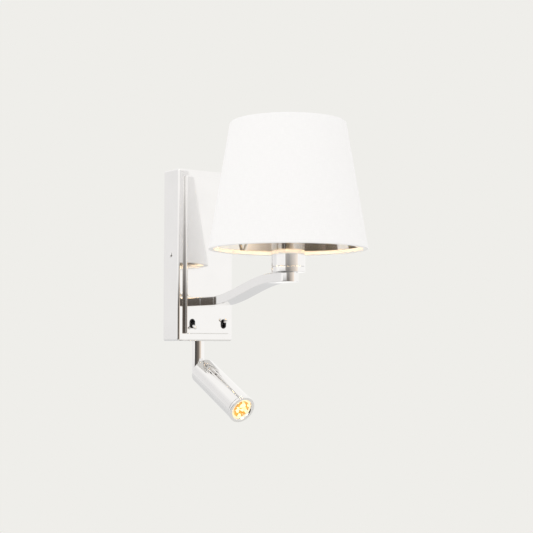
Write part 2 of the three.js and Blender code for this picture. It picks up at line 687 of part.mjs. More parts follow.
function bulbCap() {
  const tip = bulbBottom - 1.6;
  const contact = 0.35 * BULB_CAP_RADIUS;
  const cone = 0.46 * BULB_CAP_RADIUS;
  return turned([
    [0, tip], [contact, tip], [cone, bulbBottom], [BULB_CAP_RADIUS, bulbBottom + 3],
    [BULB_CAP_RADIUS, bulbCapTop], [0, bulbCapTop],
  ]);
}

function bulbBody() {
  const waist = BULB_CAP_RADIUS + 1;
  return turned([
    [0, bodyBase], [waist, bodyBase], [waist + 1.5, bodyBase + BULB_BODY_HEIGHT * 0.3],
    [bulbRim - 4, bodyBase + BULB_BODY_HEIGHT * 0.75], [bulbRim, bodyTop], [0, bodyTop],
  ]);
}

// The frosted globe: wide just above the body, round over the top, open below.
function bulbGlobe() {
  const base = bodyTop + SEAT_GAP;
  const middle = base + BULB_GLOBE_HEIGHT - BULB_RADIUS;
  const outside = [];
  const inside = [];
  const facets = 7;
  for (let i = 0; i < facets; i += 1) {
    const angle = (i / facets) * (Math.PI / 2);
    const along = (radius) => [radius * Math.cos(angle), middle + radius * Math.sin(angle)];
    outside.push(along(BULB_RADIUS));
    inside.push(along(BULB_RADIUS - BULB_GLASS));
  }
  outside.push([0, middle + BULB_RADIUS]);
  inside.push([0, middle + BULB_RADIUS - BULB_GLASS]);
  return turned([...inside.reverse(), [bulbRim - BULB_GLASS, base], [bulbRim, base], ...outside]);
}

place('bulb_cap', bulbCap(), brass, holder);
place('bulb_body', bulbBody(), whitePlastic, holder);
place('bulb_globe', bulbGlobe(), frostedGlass, holder);

// ---------------------------------------------------------------- shade

const shadeTop = SHADE_BOTTOM + SHADE_HEIGHT;
const shadeSlope = (SHADE_BOTTOM_RADIUS - SHADE_TOP_RADIUS) / SHADE_HEIGHT;
const shadeRadiusAt = (height) => SHADE_BOTTOM_RADIUS - shadeSlope * (height - SHADE_BOTTOM);

// A tapered skin, inset from the shade's outer face and short of its rims.
function shadeSkin(inset, thickness, short) {
  const bottom = SHADE_BOTTOM + short;
  const top = shadeTop - short;
  const outerBottom = shadeRadiusAt(bottom) - inset;
  const outerTop = shadeRadiusAt(top) - inset;
  return turned([
    [outerBottom - thickness, bottom], [outerBottom, bottom], [outerTop, top], [outerTop - thickness, top],
    [outerBottom - thickness, bottom],
  ], FINE);
}

const liningInset = SHADE_FABRIC + SEAT_GAP;
const wireInset = liningInset + SHADE_LINING + 2 * SEAT_GAP + SHADE_WIRE_RADIUS;
const lowerWireHeight = SHADE_BOTTOM + SHADE_WIRE_RADIUS + SEAT_GAP;
const upperWireHeight = shadeTop - SHADE_WIRE_RADIUS - SEAT_GAP;
const lowerWireRadius = shadeRadiusAt(lowerWireHeight) - wireInset;
const upperWireRadius = shadeRadiusAt(upperWireHeight) - wireInset;

// A flat ring on the lampholder's shoulder, and wire arms that run out level and then down to the lower ring.
function shadeSpider() {
  const inner = HOLDER_NECK_RADIUS + SEAT_GAP;
  const outer = HOLDER_RADIUS + SPIDER_RING_OVERHANG;
  const height = (spiderBase + spiderTop) / 2;
  const hub = ring(inner, outer, spiderBase, spiderTop, FINE);
  const bend = lowerWireRadius - SPIDER_BEND_INSET;
  const end = new THREE.Vector3(
    lowerWireRadius - SHADE_WIRE_RADIUS / 2, 0, lowerWireHeight + 2 * SHADE_WIRE_RADIUS + SEAT_GAP);
  const corner = new THREE.Vector3(bend, 0, height);
  const path = new THREE.CurvePath();
  const before = new THREE.Vector3(bend - 4 * SHADE_WIRE_RADIUS, 0, height);
  const after = corner.clone().lerp(end, 0.3);
  path.add(new THREE.LineCurve3(new THREE.Vector3(outer - SPIDER_RING_OVERHANG / 2, 0, height), before));
  path.add(new THREE.QuadraticBezierCurve3(before, corner, after));
  path.add(new THREE.LineCurve3(after, end));
  const arms = [];
  for (let i = 0; i < SPIDER_ARMS; i += 1) {
    const angle = Math.PI / 2 + (2 * Math.PI * i) / SPIDER_ARMS;
    arms.push(tube(path, SHADE_WIRE_RADIUS, 12).rotateZ(angle));
  }
  return join(hub, ...arms);
}

// A ring nut with finger notches, which clamps the spider to the shoulder.
function shadeNut() {
  const inner = HOLDER_NECK_RADIUS + TURN_GAP;
  const outer = inner + SHADE_NUT_WIDTH;
  const bottom = spiderTop + SEAT_GAP;
  const body = ring(inner, outer, bottom, bottom + SHADE_NUT_HEIGHT, FINE);
  const notches = [];
  for (let i = 0; i < SHADE_NUT_NOTCHES; i += 1) {
    const notch = disc(SHADE_NUT_NOTCH_RADIUS, bottom - THROUGH, bottom + SHADE_NUT_HEIGHT + THROUGH, 8);
    notches.push(notch.translate(outer + SEAT_GAP, 0, 0).rotateZ((2 * Math.PI * i) / SHADE_NUT_NOTCHES));
  }
  return cut(body, ...notches);
}

place('shade_spider', shadeSpider(), zincSteel, holder);
place('shade_ring_nut', shadeNut(), blackPlastic, holder);
place('shade_wire_lower', wireRing(lowerWireRadius, lowerWireHeight, SHADE_WIRE_RADIUS), zincSteel, holder);
place('shade_wire_upper', wireRing(upperWireRadius, upperWireHeight, SHADE_WIRE_RADIUS), zincSteel, holder);
place('shade_fabric', shadeSkin(0, SHADE_FABRIC, 0), shadeFabric, holder);
place('shade_lining', shadeSkin(liningInset, SHADE_LINING, 0.2), foilLining, holder);

// ---------------------------------------------------------------- switches

const switchFront = panelFace + SWITCH_PROUD;
const switchBack = coverInside - COVER_SHEET;
const switchPivot = panelFace - SWITCH_PIVOT_INSET;
const switchPinLength = SWITCH_WIDTH - 2;

function switchInsert() {
  const body = outward(stadium(SWITCH_WIDTH, SWITCH_LENGTH), switchBack, switchFront);
  const slotOutline = stadium(SWITCH_SLOT_WIDTH, SWITCH_SLOT_LENGTH);
  const slot = outward(slotOutline, switchBack - THROUGH, switchFront + THROUGH);
  const pinHole = crossRod(SWITCH_PIN_RADIUS + TURN_GAP, switchPinLength + 2 * TURN_GAP)
    .translate(0, -switchPivot, 0);
  return cut(body, slot, pinHole);
}

const switchBody = block(0, -(switchBack - SEAT_GAP - SWITCH_BODY.depth / 2), 0,
  SWITCH_BODY.width, SWITCH_BODY.depth, SWITCH_BODY.height);

// A bat lever with a hub and two trunnions, drawn along +Z from its pivot.
function switchLever() {
  const tip = LEVER_TIP_RADIUS;
  const bat = turned([
    [0, 0], [LEVER_RADIUS, 0], [LEVER_RADIUS, LEVER_HUB_RADIUS + 1], [tip, LEVER_LENGTH - tip],
    [tip * 0.92, LEVER_LENGTH - tip * 0.5], [tip * 0.62, LEVER_LENGTH - tip * 0.13], [0, LEVER_LENGTH],
  ], COARSE);
  const hub = crossRod(LEVER_HUB_RADIUS, SWITCH_SLOT_WIDTH - 2 * SEAT_GAP);
  return join(hub, bat, crossRod(SWITCH_PIN_RADIUS, switchPinLength));
}

for (const [name, side] of Object.entries(switchSides)) {
  const group = new THREE.Group();
  group.position.set(switchX(side), 0, SWITCH_HEIGHT);
  wallLight.add(group);
  place(`switch_insert_${name}`, switchInsert(), blackPlastic, group);
  place(`switch_body_${name}`, switchBody.clone(), blackPlastic, group);
  const lever = place(`switch_lever_${name}`, switchLever(), polishedNickel, group);
  lever.position.y = -switchPivot;
  lever.rotation.x = Math.PI / 2 - (side * LEVER_TILT * Math.PI) / 180;
}

// ---------------------------------------------------------------- spot stem

const stem = new THREE.Group();
stem.position.y = -STEM_DEPTH;
wallLight.add(stem);

const bushBottom = underside + COVER_SHEET + SEAT_GAP;
const bushTop = bushBottom + BUSH_HEIGHT;
const washerTop = bushTop + SEAT_GAP + WASHER_THICKNESS;
const circlipTop = washerTop + SEAT_GAP + CIRCLIP_THICKNESS;
const stopPinHeight = bushTop - STOP_NOTCH_HEIGHT / 2;

function stemBush() {
  const body = ring(STEM_RADIUS + TURN_GAP, BUSH_RADIUS, bushBottom, bushTop);
  const rearHalf = block(0, BUSH_RADIUS, bushTop, 4 * BUSH_RADIUS, 2 * BUSH_RADIUS, 2 * STOP_NOTCH_HEIGHT);
  return cut(body, rearHalf);
}

// A tube above, and below it a slotted, rounded clevis that carries the tilt pin.
function stemTube() {
  const tip = pivotHeight - STEM_RADIUS;
  const top = underside + STEM_TOP;
  const rod = disc(STEM_RADIUS, tip, top);
  const across = 4 * STEM_RADIUS;
  const slotRoof = pivotHeight + CLEVIS_DEPTH;
  const boreFloor = slotRoof + CLEVIS_WEB;
  const bore = disc(STEM_BORE_RADIUS, boreFloor, top + THROUGH);
  const wireHole = disc(STEM_CABLE_RADIUS + 2 * SEAT_GAP, pivotHeight, boreFloor + THROUGH, COARSE);
  const slot = block(0, 0, slotRoof - across, CLEVIS_SLOT, across, 2 * across);
  const belowPivot = block(0, 0, pivotHeight - STEM_RADIUS, across, across, 2 * STEM_RADIUS);
  const roundEnd = crossRod(STEM_RADIUS, across + 2, MEDIUM).translate(0, 0, pivotHeight);
  const offcut = cut(belowPivot, roundEnd);
  const pinHole = crossRod(TILT_PIN_RADIUS + TURN_GAP, across).translate(0, 0, pivotHeight);
  const groove = ring(STEM_RADIUS - CIRCLIP_GROOVE_DEPTH, STEM_RADIUS + THROUGH, washerTop + SEAT_GAP / 2,
    circlipTop + SEAT_GAP / 2);
  const stopHole = outwardRod(STOP_PIN_RADIUS + TURN_GAP, -2 * STEM_RADIUS, 0).translate(0, 0, stopPinHeight);
  return cut(rod, bore, wireHole, slot, offcut, pinHole, groove, stopHole);
}

const stopPin = outwardRod(STOP_PIN_RADIUS, STOP_PIN_INSET - BUSH_RADIUS, -STEM_BORE_RADIUS - SEAT_GAP)
  .translate(0, 0, stopPinHeight);
const stemWasher = ring(STEM_RADIUS + TURN_GAP, BUSH_RADIUS - 1, washerTop - WASHER_THICKNESS, washerTop);
const circlipInner = STEM_RADIUS - CIRCLIP_GROOVE_DEPTH + TURN_GAP;
const circlipRing = ring(circlipInner, BUSH_RADIUS - 1.5, circlipTop - CIRCLIP_THICKNESS, circlipTop);
const circlipMouth = block(0, BUSH_RADIUS, circlipTop, circlipInner, 2 * BUSH_RADIUS, 4 * CIRCLIP_THICKNESS);
const circlip = cut(circlipRing, circlipMouth);
const tiltPin = crossRod(TILT_PIN_RADIUS, 2 * (STEM_RADIUS - SEAT_GAP) - 0.8).translate(0, 0, pivotHeight);

place('stem_bush', stemBush(), brass, stem);
place('stem_tube', stemTube(), polishedNickel, stem);
place('stem_stop_pin', stopPin, zincSteel, stem);
place('stem_washer', stemWasher, zincSteel, stem);
place('stem_circlip', circlip, zincSteel, stem);
place('tilt_pin', tiltPin, zincSteel, stem);

// ---------------------------------------------------------------- spot head

// Drawn along +Z from the tilt pin, then laid outward and tipped down.
const head = new THREE.Group();
head.position.z = pivotHeight;
head.rotation.x = Math.PI / 2 + (HEAD_TILT * Math.PI) / 180;
stem.add(head);

const headBore = HEAD_RADIUS - HEAD_SHEET;
const footTop = HEAD_OFFSET - SEAT_GAP;
const rearInside = HEAD_OFFSET + HEAD_REAR_SHEET;

function tiltTongue() {
  const plate = block(0, 0, footTop / 2, TONGUE_THICKNESS, TONGUE_WIDTH, footTop);
  const roundEnd = crossRod(TONGUE_WIDTH / 2, TONGUE_THICKNESS, MEDIUM);
  const foot = disc(TONGUE_FOOT_RADIUS, footTop - TONGUE_FOOT_HEIGHT, footTop);
  const spigot = disc(TONGUE_SPIGOT_RADIUS, footTop - 1, rearInside + TONGUE_SPIGOT_TAIL, COARSE);
  const pinHole = crossRod(TILT_PIN_RADIUS + TURN_GAP, TONGUE_WIDTH);
  return cut(join(plate, roundEnd, foot, spigot), pinHole);
}

function headCan() {
  const hole = TONGUE_SPIGOT_RADIUS + TURN_GAP;
  const half = HEAD_EDGE * (1 - Math.SQRT1_2);
  return turned([
    [hole, HEAD_OFFSET], [HEAD_RADIUS - HEAD_EDGE, HEAD_OFFSET], [HEAD_RADIUS - half, HEAD_OFFSET + half],
    [HEAD_RADIUS, HEAD_OFFSET + HEAD_EDGE], [HEAD_RADIUS, canFront], [headBore, canFront],
    [headBore, rearInside], [hole, rearInside], [hole, HEAD_OFFSET],
  ], FINE);
}

const tongueNut = hexNut(TONGUE_NUT, TONGUE_SPIGOT_RADIUS + TURN_GAP, rearInside + SEAT_GAP);
const lensFront = bezelFront - LENS_INSET;
const lensBack = lensFront - LENS_THICKNESS;
const reflectorFront = lensBack - SEAT_GAP;
const reflectorBack = reflectorFront - REFLECTOR_LENGTH;
const boardFront = reflectorBack - SEAT_GAP;
const boardBack = boardFront - LED_BOARD_THICKNESS;
const sinkFront = boardBack - SEAT_GAP;
const sinkBack = sinkFront - HEATSINK_LENGTH;
const spigotOuter = headBore - SEAT_GAP;
const spigotBore = spigotOuter - BEZEL_SPIGOT_WALL;
const lensRadius = spigotBore - SEAT_GAP;

// Aluminium slug with ring grooves and a cable bore.
function heatSink() {
  const radius = headBore - SEAT_GAP;
  const floor = radius - HEATSINK_GROOVE_DEPTH;
  const bore = HEATSINK_BORE_RADIUS;
  const pitch = HEATSINK_LENGTH / (HEATSINK_GROOVES + 1);
  const profile = [[bore, sinkBack]];
  for (let i = 0; i < HEATSINK_GROOVES; i += 1) {
    const from = sinkBack + i * pitch;
    const groove = from + pitch / 2;
    profile.push([radius, from], [radius, groove], [floor, groove], [floor, from + pitch]);
  }
  profile.push([radius, sinkFront - pitch], [radius, sinkFront], [bore, sinkFront], [bore, sinkBack]);
  return turned(profile);
}

function reflectorCup() {
  const mouth = lensRadius - SEAT_GAP - REFLECTOR_WALL;
  const outside = [];
  const inside = [];
  const facets = 6;
  for (let i = 0; i <= facets; i += 1) {
    const t = i / facets;
    const radius = REFLECTOR_THROAT_RADIUS + (mouth - REFLECTOR_THROAT_RADIUS) * Math.pow(t, 0.6);
    const height = reflectorBack + REFLECTOR_LENGTH * t;
    inside.push([radius, height]);
    outside.push([radius + REFLECTOR_WALL, height]);
  }
  return turned([inside[0], ...outside, ...inside.reverse()]);
}

function bezel() {
  const spigotBack = canFront - BEZEL_SPIGOT_LENGTH;
  const seat = lensFront + SEAT_GAP;
  const rearEdge = 0.4;
  const edge = 0.8;
  return turned([
    [spigotBore, spigotBack], [spigotOuter, spigotBack], [spigotOuter, bezelBack],
    [BEZEL_RADIUS - rearEdge, bezelBack], [BEZEL_RADIUS, bezelBack + rearEdge],
    [BEZEL_RADIUS, bezelFront - edge], [BEZEL_RADIUS - edge, bezelFront],
    [BEZEL_OPENING_RADIUS + edge, bezelFront], [BEZEL_OPENING_RADIUS, bezelFront - edge],
    [BEZEL_OPENING_RADIUS, seat], [spigotBore, seat], [spigotBore, spigotBack],
  ], FINE);
}

const ledBoard = disc(spigotOuter - 1.5, boardBack, boardFront);
const ledBase = boardFront + SEAT_GAP;
const ledChip = disc(LED_RADIUS, ledBase, ledBase + LED_HEIGHT, COARSE);

place('tilt_tongue', tiltTongue(), polishedNickel, head);
place('head_can', headCan(), polishedNickel, head);
place('tongue_nut', tongueNut, zincSteel, head);
place('head_heatsink', heatSink(), aluminium, head);
place('led_board', ledBoard, boardWhite, head);
place('led_chip', ledChip, ledPhosphor, head);
place('spot_reflector', reflectorCup(), goldReflector, head);
place('spot_lens', disc(lensRadius, lensBack, lensFront), clearGlass, head);
place('spot_bezel', bezel(), polishedNickel, head);

// ---------------------------------------------------------------- cables inside the light

const at = (x, depth, height) => new THREE.Vector3(x, -depth, height);

const terminalFoot = TERMINAL.middle - TERMINAL.height / 2 - SEAT_GAP;
const driverFoot = DRIVER.middle - DRIVER.height / 2 - SEAT_GAP;

// From the terminal block through the arm and up into the lampholder.
function armCable() {
  const side = -(DRIVER.width / 2 + 7);
  const root = ARM_ROOT_HEIGHT;
  const inBox = [
    at(side, 12, terminalFoot), at(side, 13, terminalFoot - 12), at(side, 13, root + 24),
    at(side + 8, 14, root + 9), at(-7, 16, root + 1.5), at(0, ROOT_NIPPLE_INNER_DEPTH - 3, root),
    at(0, ROOT_NIPPLE_INNER_DEPTH + 3, root), at(0, armRootDepth + 6, root),
  ];
  const inArm = armLine(8).slice(1, -1).map(({ point }) => at(0, point.x, point.y));
  const bend = 3.5;
  const corner = [];
  for (let i = 0; i <= 3; i += 1) {
    const turn = (i / 3) * (Math.PI / 2);
    const out = ARM_REACH - bend * (1 - Math.sin(turn));
    const up = ARM_TIP_HEIGHT + bend * (1 - Math.cos(turn));
    corner.push(at(0, out, up));
  }
  const inHolder = [at(0, ARM_REACH, ARM_TIP_HEIGHT + bend + 3), at(0, ARM_REACH, insulatorFloor - SEAT_GAP)];
  return routed([...inBox, ...inArm, ...corner, ...inHolder], CABLE_RADIUS, 70);
}

// From the driver down the stem to the clevis.
function stemCable() {
  const top = underside + STEM_TOP;
  return routed([
    at(14, 8, driverFoot), at(13, 8, driverFoot - 21), at(12, 8, top + 28), at(4, 12, top + 12),
    at(0, STEM_DEPTH, top), at(0, STEM_DEPTH, top - 10), at(0, STEM_DEPTH, pivotHeight + CLEVIS_DEPTH + 1),
  ], STEM_CABLE_RADIUS, 24);
}

function switchWire(side, x, depth, height) {
  const back = switchBack - SEAT_GAP - SWITCH_BODY.depth - 2 * SEAT_GAP;
  const from = SWITCH_HEIGHT + 4;
  return routed([
    at(switchX(side), back, from), at(switchX(side), back - 2, from), at(switchX(side), back - 5, from + 4),
    at(x, depth, from + 26), at(x, depth, height),
  ], WIRE_RADIUS, 16);
}

const headCableBack = rearInside + TONGUE_SPIGOT_TAIL + SEAT_GAP;
const headCable = disc(HEAD_CABLE_RADIUS, headCableBack, boardBack - SEAT_GAP, COARSE);

place('arm_cable', armCable(), cableSheath);
place('stem_cable', stemCable(), cableSheath);
place('head_cable', headCable, cableSheath, head);
place('switch_wire_left', switchWire(-1, -(DRIVER.width / 2 + 3), 7, terminalFoot), brownWire);
place('switch_wire_right', switchWire(1, DRIVER.width / 2 - 2, 15, driverFoot), brownWire);

export default wallLight;
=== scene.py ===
"""Builds the visible pieces of a wall light around its CAD frame: a box back plate with a raised mirror
panel, a swept flat arm with a lampholder and a tapered shade, and a small reading spot on a stem below."""

import json
import math

import bmesh
import bpy
from bpy.props import FloatProperty, FloatVectorProperty, IntProperty, PointerProperty
from mathutils import Matrix, Vector


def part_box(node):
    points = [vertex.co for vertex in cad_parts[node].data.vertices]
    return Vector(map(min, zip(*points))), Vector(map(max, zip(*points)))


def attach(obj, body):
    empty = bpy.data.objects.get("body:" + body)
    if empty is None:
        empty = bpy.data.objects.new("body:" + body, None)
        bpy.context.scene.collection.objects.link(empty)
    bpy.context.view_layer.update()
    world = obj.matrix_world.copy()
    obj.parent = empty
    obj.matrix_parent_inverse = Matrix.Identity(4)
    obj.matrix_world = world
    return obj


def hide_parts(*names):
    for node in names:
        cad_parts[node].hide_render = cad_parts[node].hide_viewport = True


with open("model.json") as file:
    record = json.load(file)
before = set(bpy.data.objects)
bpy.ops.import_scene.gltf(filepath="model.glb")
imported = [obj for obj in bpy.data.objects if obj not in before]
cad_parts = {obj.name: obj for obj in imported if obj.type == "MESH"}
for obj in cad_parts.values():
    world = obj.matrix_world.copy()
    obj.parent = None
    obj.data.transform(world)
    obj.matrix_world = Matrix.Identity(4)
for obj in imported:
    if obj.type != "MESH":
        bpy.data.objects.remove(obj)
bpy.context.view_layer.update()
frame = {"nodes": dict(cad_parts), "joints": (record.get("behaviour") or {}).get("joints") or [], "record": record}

bl_info = {
    "name": "Wall light with reading spot",
    "version": (1, 0, 0),
    "blender": (4, 5, 0),
    "location": "3D Viewport > Sidebar > Wall light",
    "description": "Builds the visible pieces of a wall light around its CAD frame",
    "category": "Object",
}

MM = 0.001
SEAT = 0.3 * MM  # clearance between pieces that seat on each other
SHARP = math.radians(40)  # edges steeper than this stay crisp
BASE = "wall_light"  # body of the fixed part
STEM = "spot_stem"
HEAD = "spot_head"


# ---------------------------------------------------------------- places taken from the frame


def joint_named(name):
    """A joint's entry in the frame."""
    return next(joint for joint in frame["joints"] if joint["name"] == name)


def joint_place(name):
    """Where a joint stands, as a point."""
    return Vector(joint_named(name)["pos_m"])


def joint_range(name):
    """A joint's two limits in radians."""
    return [math.radians(angle) for angle in joint_named(name)["range_deg"]]


def centre_of(node):
    """The middle of a CAD node's box."""
    low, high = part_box(node)
    return (low + high) / 2


def local_box(node, matrix):
    """A CAD node's lowest and highest corner, measured in another frame."""
    back = matrix.inverted()
    corners = [back @ vertex.co for vertex in frame["nodes"][node].data.vertices]
    low = Vector([min(point[i] for point in corners) for i in range(3)])
    high = Vector([max(point[i] for point in corners) for i in range(3)])
    return low, high


def radius_at_top(node, axis):
    """Largest distance from a vertical axis among a CAD node's topmost vertices."""
    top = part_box(node)[1].z
    vertices = [vertex.co for vertex in frame["nodes"][node].data.vertices if top - vertex.co.z < SEAT]
    return max(math.hypot(point.x - axis.x, point.y - axis.y) for point in vertices)


HOLDER_AXIS = centre_of("holder_shell")
TILT_PIVOT = joint_place("spot_tilt")
HEAD_TILT = -joint_range("spot_tilt")[0]  # the lower limit turns the head level
HEAD_FRAME = Matrix.Translation(TILT_PIVOT) @ Matrix.Rotation(math.pi / 2 + HEAD_TILT, 4, "X")
LEVER_TILT = abs(sum(joint_range("switch_left"))) / 2  # a lever rests at one end of its throw
CARRIER_SHEET = 2 * MM  # the shade carrier's flat ring
CLEVIS_DEPTH = 9.5 * MM  # the slot's roof above the tilt pin
CLEVIS_WEB = 4 * MM  # solid left between the slot and the stem's bore


def upright(point):
    """A frame at a point, with its axis upright."""
    return Matrix.Translation((point.x, point.y, 0))


# ---------------------------------------------------------------- settings


class WallLightSizes(bpy.types.PropertyGroup):
    """Sizes that the frame doesn't give: sheets, edge roundings and visible details."""

    cover_edge: FloatProperty(
        name="Cover edge", description="Rounding of the cover's edges", default=2.8 * MM, unit="LENGTH")
    cover_sheet: FloatProperty(
        name="Cover sheet", description="Thickness of the cover's sheet", default=1.5 * MM, unit="LENGTH")
    panel_edge: FloatProperty(
        name="Panel edge", description="Rounding of the panel's edges", default=1.6 * MM, unit="LENGTH")
    arm_thickness: FloatProperty(
        name="Arm thickness", description="Thickness of the flat arm", default=11 * MM, unit="LENGTH")
    arm_root_straight: FloatProperty(
        name="Arm root", description="Level length at the panel", default=25 * MM, unit="LENGTH")
    arm_tip_straight: FloatProperty(
        name="Arm tip", description="Level length under the lampholder", default=18 * MM, unit="LENGTH")
    arm_edge: FloatProperty(
        name="Arm edge", description="Rounding of the arm's edges", default=0.9 * MM, unit="LENGTH")
    holder_groove: FloatProperty(
        name="Holder groove", description="Gap between the lampholder's cap and shell", default=0.5 * MM,
        unit="LENGTH")
    hem_height: FloatProperty(
        name="Hem", description="Height of the fabric turned in at each rim", default=4.6 * MM, unit="LENGTH")
    fabric_sheet: FloatProperty(
        name="Fabric", description="Thickness of the laminated shade fabric", default=0.8 * MM, unit="LENGTH")
    seam_width: FloatProperty(
        name="Seam", description="Width of the shade's glued overlap", default=9 * MM, unit="LENGTH")
    wire_radius: FloatProperty(
        name="Shade wire", description="Radius of the shade frame's wire", default=1.5 * MM, unit="LENGTH")
    lever_radius: FloatProperty(
        name="Lever", description="Radius of a toggle lever at its neck", default=1.7 * MM, unit="LENGTH")
    lever_tip_radius: FloatProperty(
        name="Lever tip", description="Radius of a toggle lever near its tip", default=2.3 * MM,
        unit="LENGTH")
    clevis_slot: FloatProperty(
        name="Clevis slot", description="Width of the slot in the stem's end", default=5.6 * MM,
        unit="LENGTH")
    facets: IntProperty(
        name="Facets", description="Facets round a turned piece", default=96, min=24, max=256)


class WallLightColours(bpy.types.PropertyGroup):
    """Colours and roughness of the finishes."""

    nickel: FloatVectorProperty(
        name="Nickel", description="Polished nickel", default=(0.90, 0.892, 0.884), subtype="COLOR", size=3)
    nickel_roughness: FloatProperty(
        name="Nickel roughness", description="Lower is more mirror-like", default=0.045, min=0, max=1)
    fabric: FloatVectorProperty(
        name="Shade fabric", description="Laminated shade fabric", default=(0.925, 0.922, 0.925),
        subtype="COLOR", size=3)
    foil: FloatVectorProperty(
        name="Shade lining", description="Metallised lining", default=(0.84, 0.81, 0.76), subtype="COLOR",
        size=3)
    glow: FloatVectorProperty(
        name="Lamp glow", description="Colour of the lit bulb and spot", default=(1.0, 0.70, 0.36),
        subtype="COLOR", size=3)
    thread: FloatProperty(
        name="Thread pitch", description="Distance between threads of the fabric", default=0.55 * MM,
        unit="LENGTH")


class WallLightStudio(bpy.types.PropertyGroup):
    """Stage, light and camera."""

    backdrop: FloatVectorProperty(
        name="Backdrop", description="Plain pale surroundings", default=(0.863, 0.855, 0.823),
        subtype="COLOR", size=3)
    brightness: FloatProperty(
        name="Room light", description="Brightness of the soft room light", default=1.04, min=0)
    floor_drop: FloatProperty(
        name="Floor drop", description="Floor below the wall light", default=1.9, unit="LENGTH")
    floor_radius: FloatProperty(
        name="Floor radius", description="Radius of the floor", default=3.0, unit="LENGTH")
    distance: FloatProperty(
        name="Screens", description="Distance of the studio screens", default=2.0, unit="LENGTH")
    lens: FloatProperty(name="Lens", description="Focal length in millimetres", default=76.5, min=20)


# ---------------------------------------------------------------- mesh helpers

FILLET_STEPS = 4
EDGE_STEPS = 5


def arc(radius, start, end, steps):
    """Points of an arc as (across, up), with both ends. It runs between two shares of a full turn."""
    angles = (2 * math.pi * (start + (end - start) * step / steps) for step in range(steps + 1))
    return [Vector((radius * math.cos(angle), radius * math.sin(angle))) for angle in angles]


def rounded(outline, closed):
    """Rounds the corners of an outline. A point is (across, along) or (across, along, rounding)."""
    result = []
    count = len(outline)
    for index, corner in enumerate(outline):
        here = Vector(corner[:2])
        size = corner[2] if len(corner) > 2 else 0
        if size == 0 or (not closed and index in (0, count - 1)):
            result.append(here)
            continue
        before = Vector(outline[index - 1][:2]) - here
        after = Vector(outline[(index + 1) % count][:2]) - here
        reach = min(size, 0.48 * before.length, 0.48 * after.length)
        start = here + before.normalized() * reach
        end = here + after.normalized() * reach
        for step in range(FILLET_STEPS + 1):
            t = step / FILLET_STEPS
            result.append(start.lerp(here, t).lerp(here.lerp(end, t), t))
    return result


def loft(rings, closed_rings=True, closed_loft=False, capped=False):
    """A mesh through rings of points that all have the same count, with a UV map in metres."""
    mesh = bmesh.new()
    uv = mesh.loops.layers.uv.new("UVMap")
    rows = [[mesh.verts.new(point) for point in ring] for ring in rings]
    count = len(rings[0])
    around = [0.0]
    for index in range(count):
        step = (Vector(rings[0][(index + 1) % count]) - Vector(rings[0][index])).length
        around.append(around[-1] + step)
    along = [0.0]
    for before, after in zip(rings, rings[1:] + rings[:1]):
        along.append(along[-1] + (Vector(after[0]) - Vector(before[0])).length)
    spans = count if closed_rings else count - 1
    for row in range(len(rows) if closed_loft else len(rows) - 1):
        lower = rows[row]
        upper = rows[(row + 1) % len(rows)]
        for index in range(spans):
            after = (index + 1) % count
            face = mesh.faces.new((lower[index], lower[after], upper[after], upper[index]))
            corners = ((index, row), (index + 1, row), (index + 1, row + 1), (index, row + 1))
            for loop, (i, j) in zip(face.loops, corners):
                loop[uv].uv = (around[i], along[j])
    if capped:
        mesh.faces.new(list(reversed(rows[0])))
        mesh.faces.new(rows[-1])
    bmesh.ops.remove_doubles(mesh, verts=mesh.verts, dist=1e-7)
    bmesh.ops.recalc_face_normals(mesh, faces=mesh.faces)
    return mesh


def turned(outline, facets, closed=True, ripple=None):
    """A mesh turned about Z from an outline of (radius, height). ripple(angle) scales the radius."""
    rings = []
    for radius, height in rounded(outline, closed):
        ring = []
        for index in range(facets):
            angle = 2 * math.pi * index / facets
            reach = radius * (ripple(angle) if ripple else 1)
            ring.append((reach * math.cos(angle), reach * math.sin(angle), height))
        rings.append(ring)
    return loft(rings, closed_loft=closed)


def slab(low, high, edge=0.0, sides=None):
    """A block between two corners, with the edges that sides(edge) picks rounded."""
    mesh = bmesh.new()
    bmesh.ops.create_cube(mesh, size=1)
    size = high - low
    middle = (low + high) / 2
    for vertex in mesh.verts:
        vertex.co = Vector(vertex.co[i] * size[i] + middle[i] for i in range(3))
    if edge:
        picked = [e for e in mesh.edges if sides is None or sides(e)]
        bmesh.ops.bevel(mesh, geom=picked, offset=edge, segments=EDGE_STEPS, profile=0.5, affect="EDGES")
    return mesh


def stadium(width, height):
    """Points of a slot outline with round ends, in (across, up)."""
    radius = width / 2
    straight = Vector((0, height / 2 - radius))
    points = [point + straight for point in arc(radius, 0, 0.5, 10)]
    return points + [-point for point in points]


def wire(points, radius):
    """A round wire along points that lie in one vertical plane through Z."""
    rings = []
    for index, point in enumerate(points):
        ahead = points[min(index + 1, len(points) - 1)] - points[max(index - 1, 0)]
        ahead.normalize()
        side = Vector((-ahead.y, ahead.x, 0)).normalized() if abs(ahead.z) < 0.999 else Vector((0, 1, 0))
        up = ahead.cross(side)
        rings.append([point + side * p.x + up * p.y for p in arc(radius, 0, 1, 14)[:-1]])
    return loft(rings, capped=True)


def bent(start, corner, end, reach, steps=8):
    """A line from start to end by way of a rounded corner."""
    before = corner + (start - corner).normalized() * reach
    after = corner + (end - corner).normalized() * reach
    points = [start]
    for index in range(steps + 1):
        t = index / steps
        points.append(before.lerp(corner, t).lerp(corner.lerp(after, t), t))
    return points + [end]


def joined(*meshes):
    """Several meshes as one."""
    whole = bmesh.new()
    for part in meshes:
        held = bpy.data.meshes.new("part")
        part.to_mesh(held)
        part.free()
        whole.from_mesh(held)
        bpy.data.meshes.remove(held)
    return whole


def turn(mesh, matrix):
    """Moves a mesh into another frame."""
    bmesh.ops.transform(mesh, matrix=matrix, verts=mesh.verts)
    return mesh


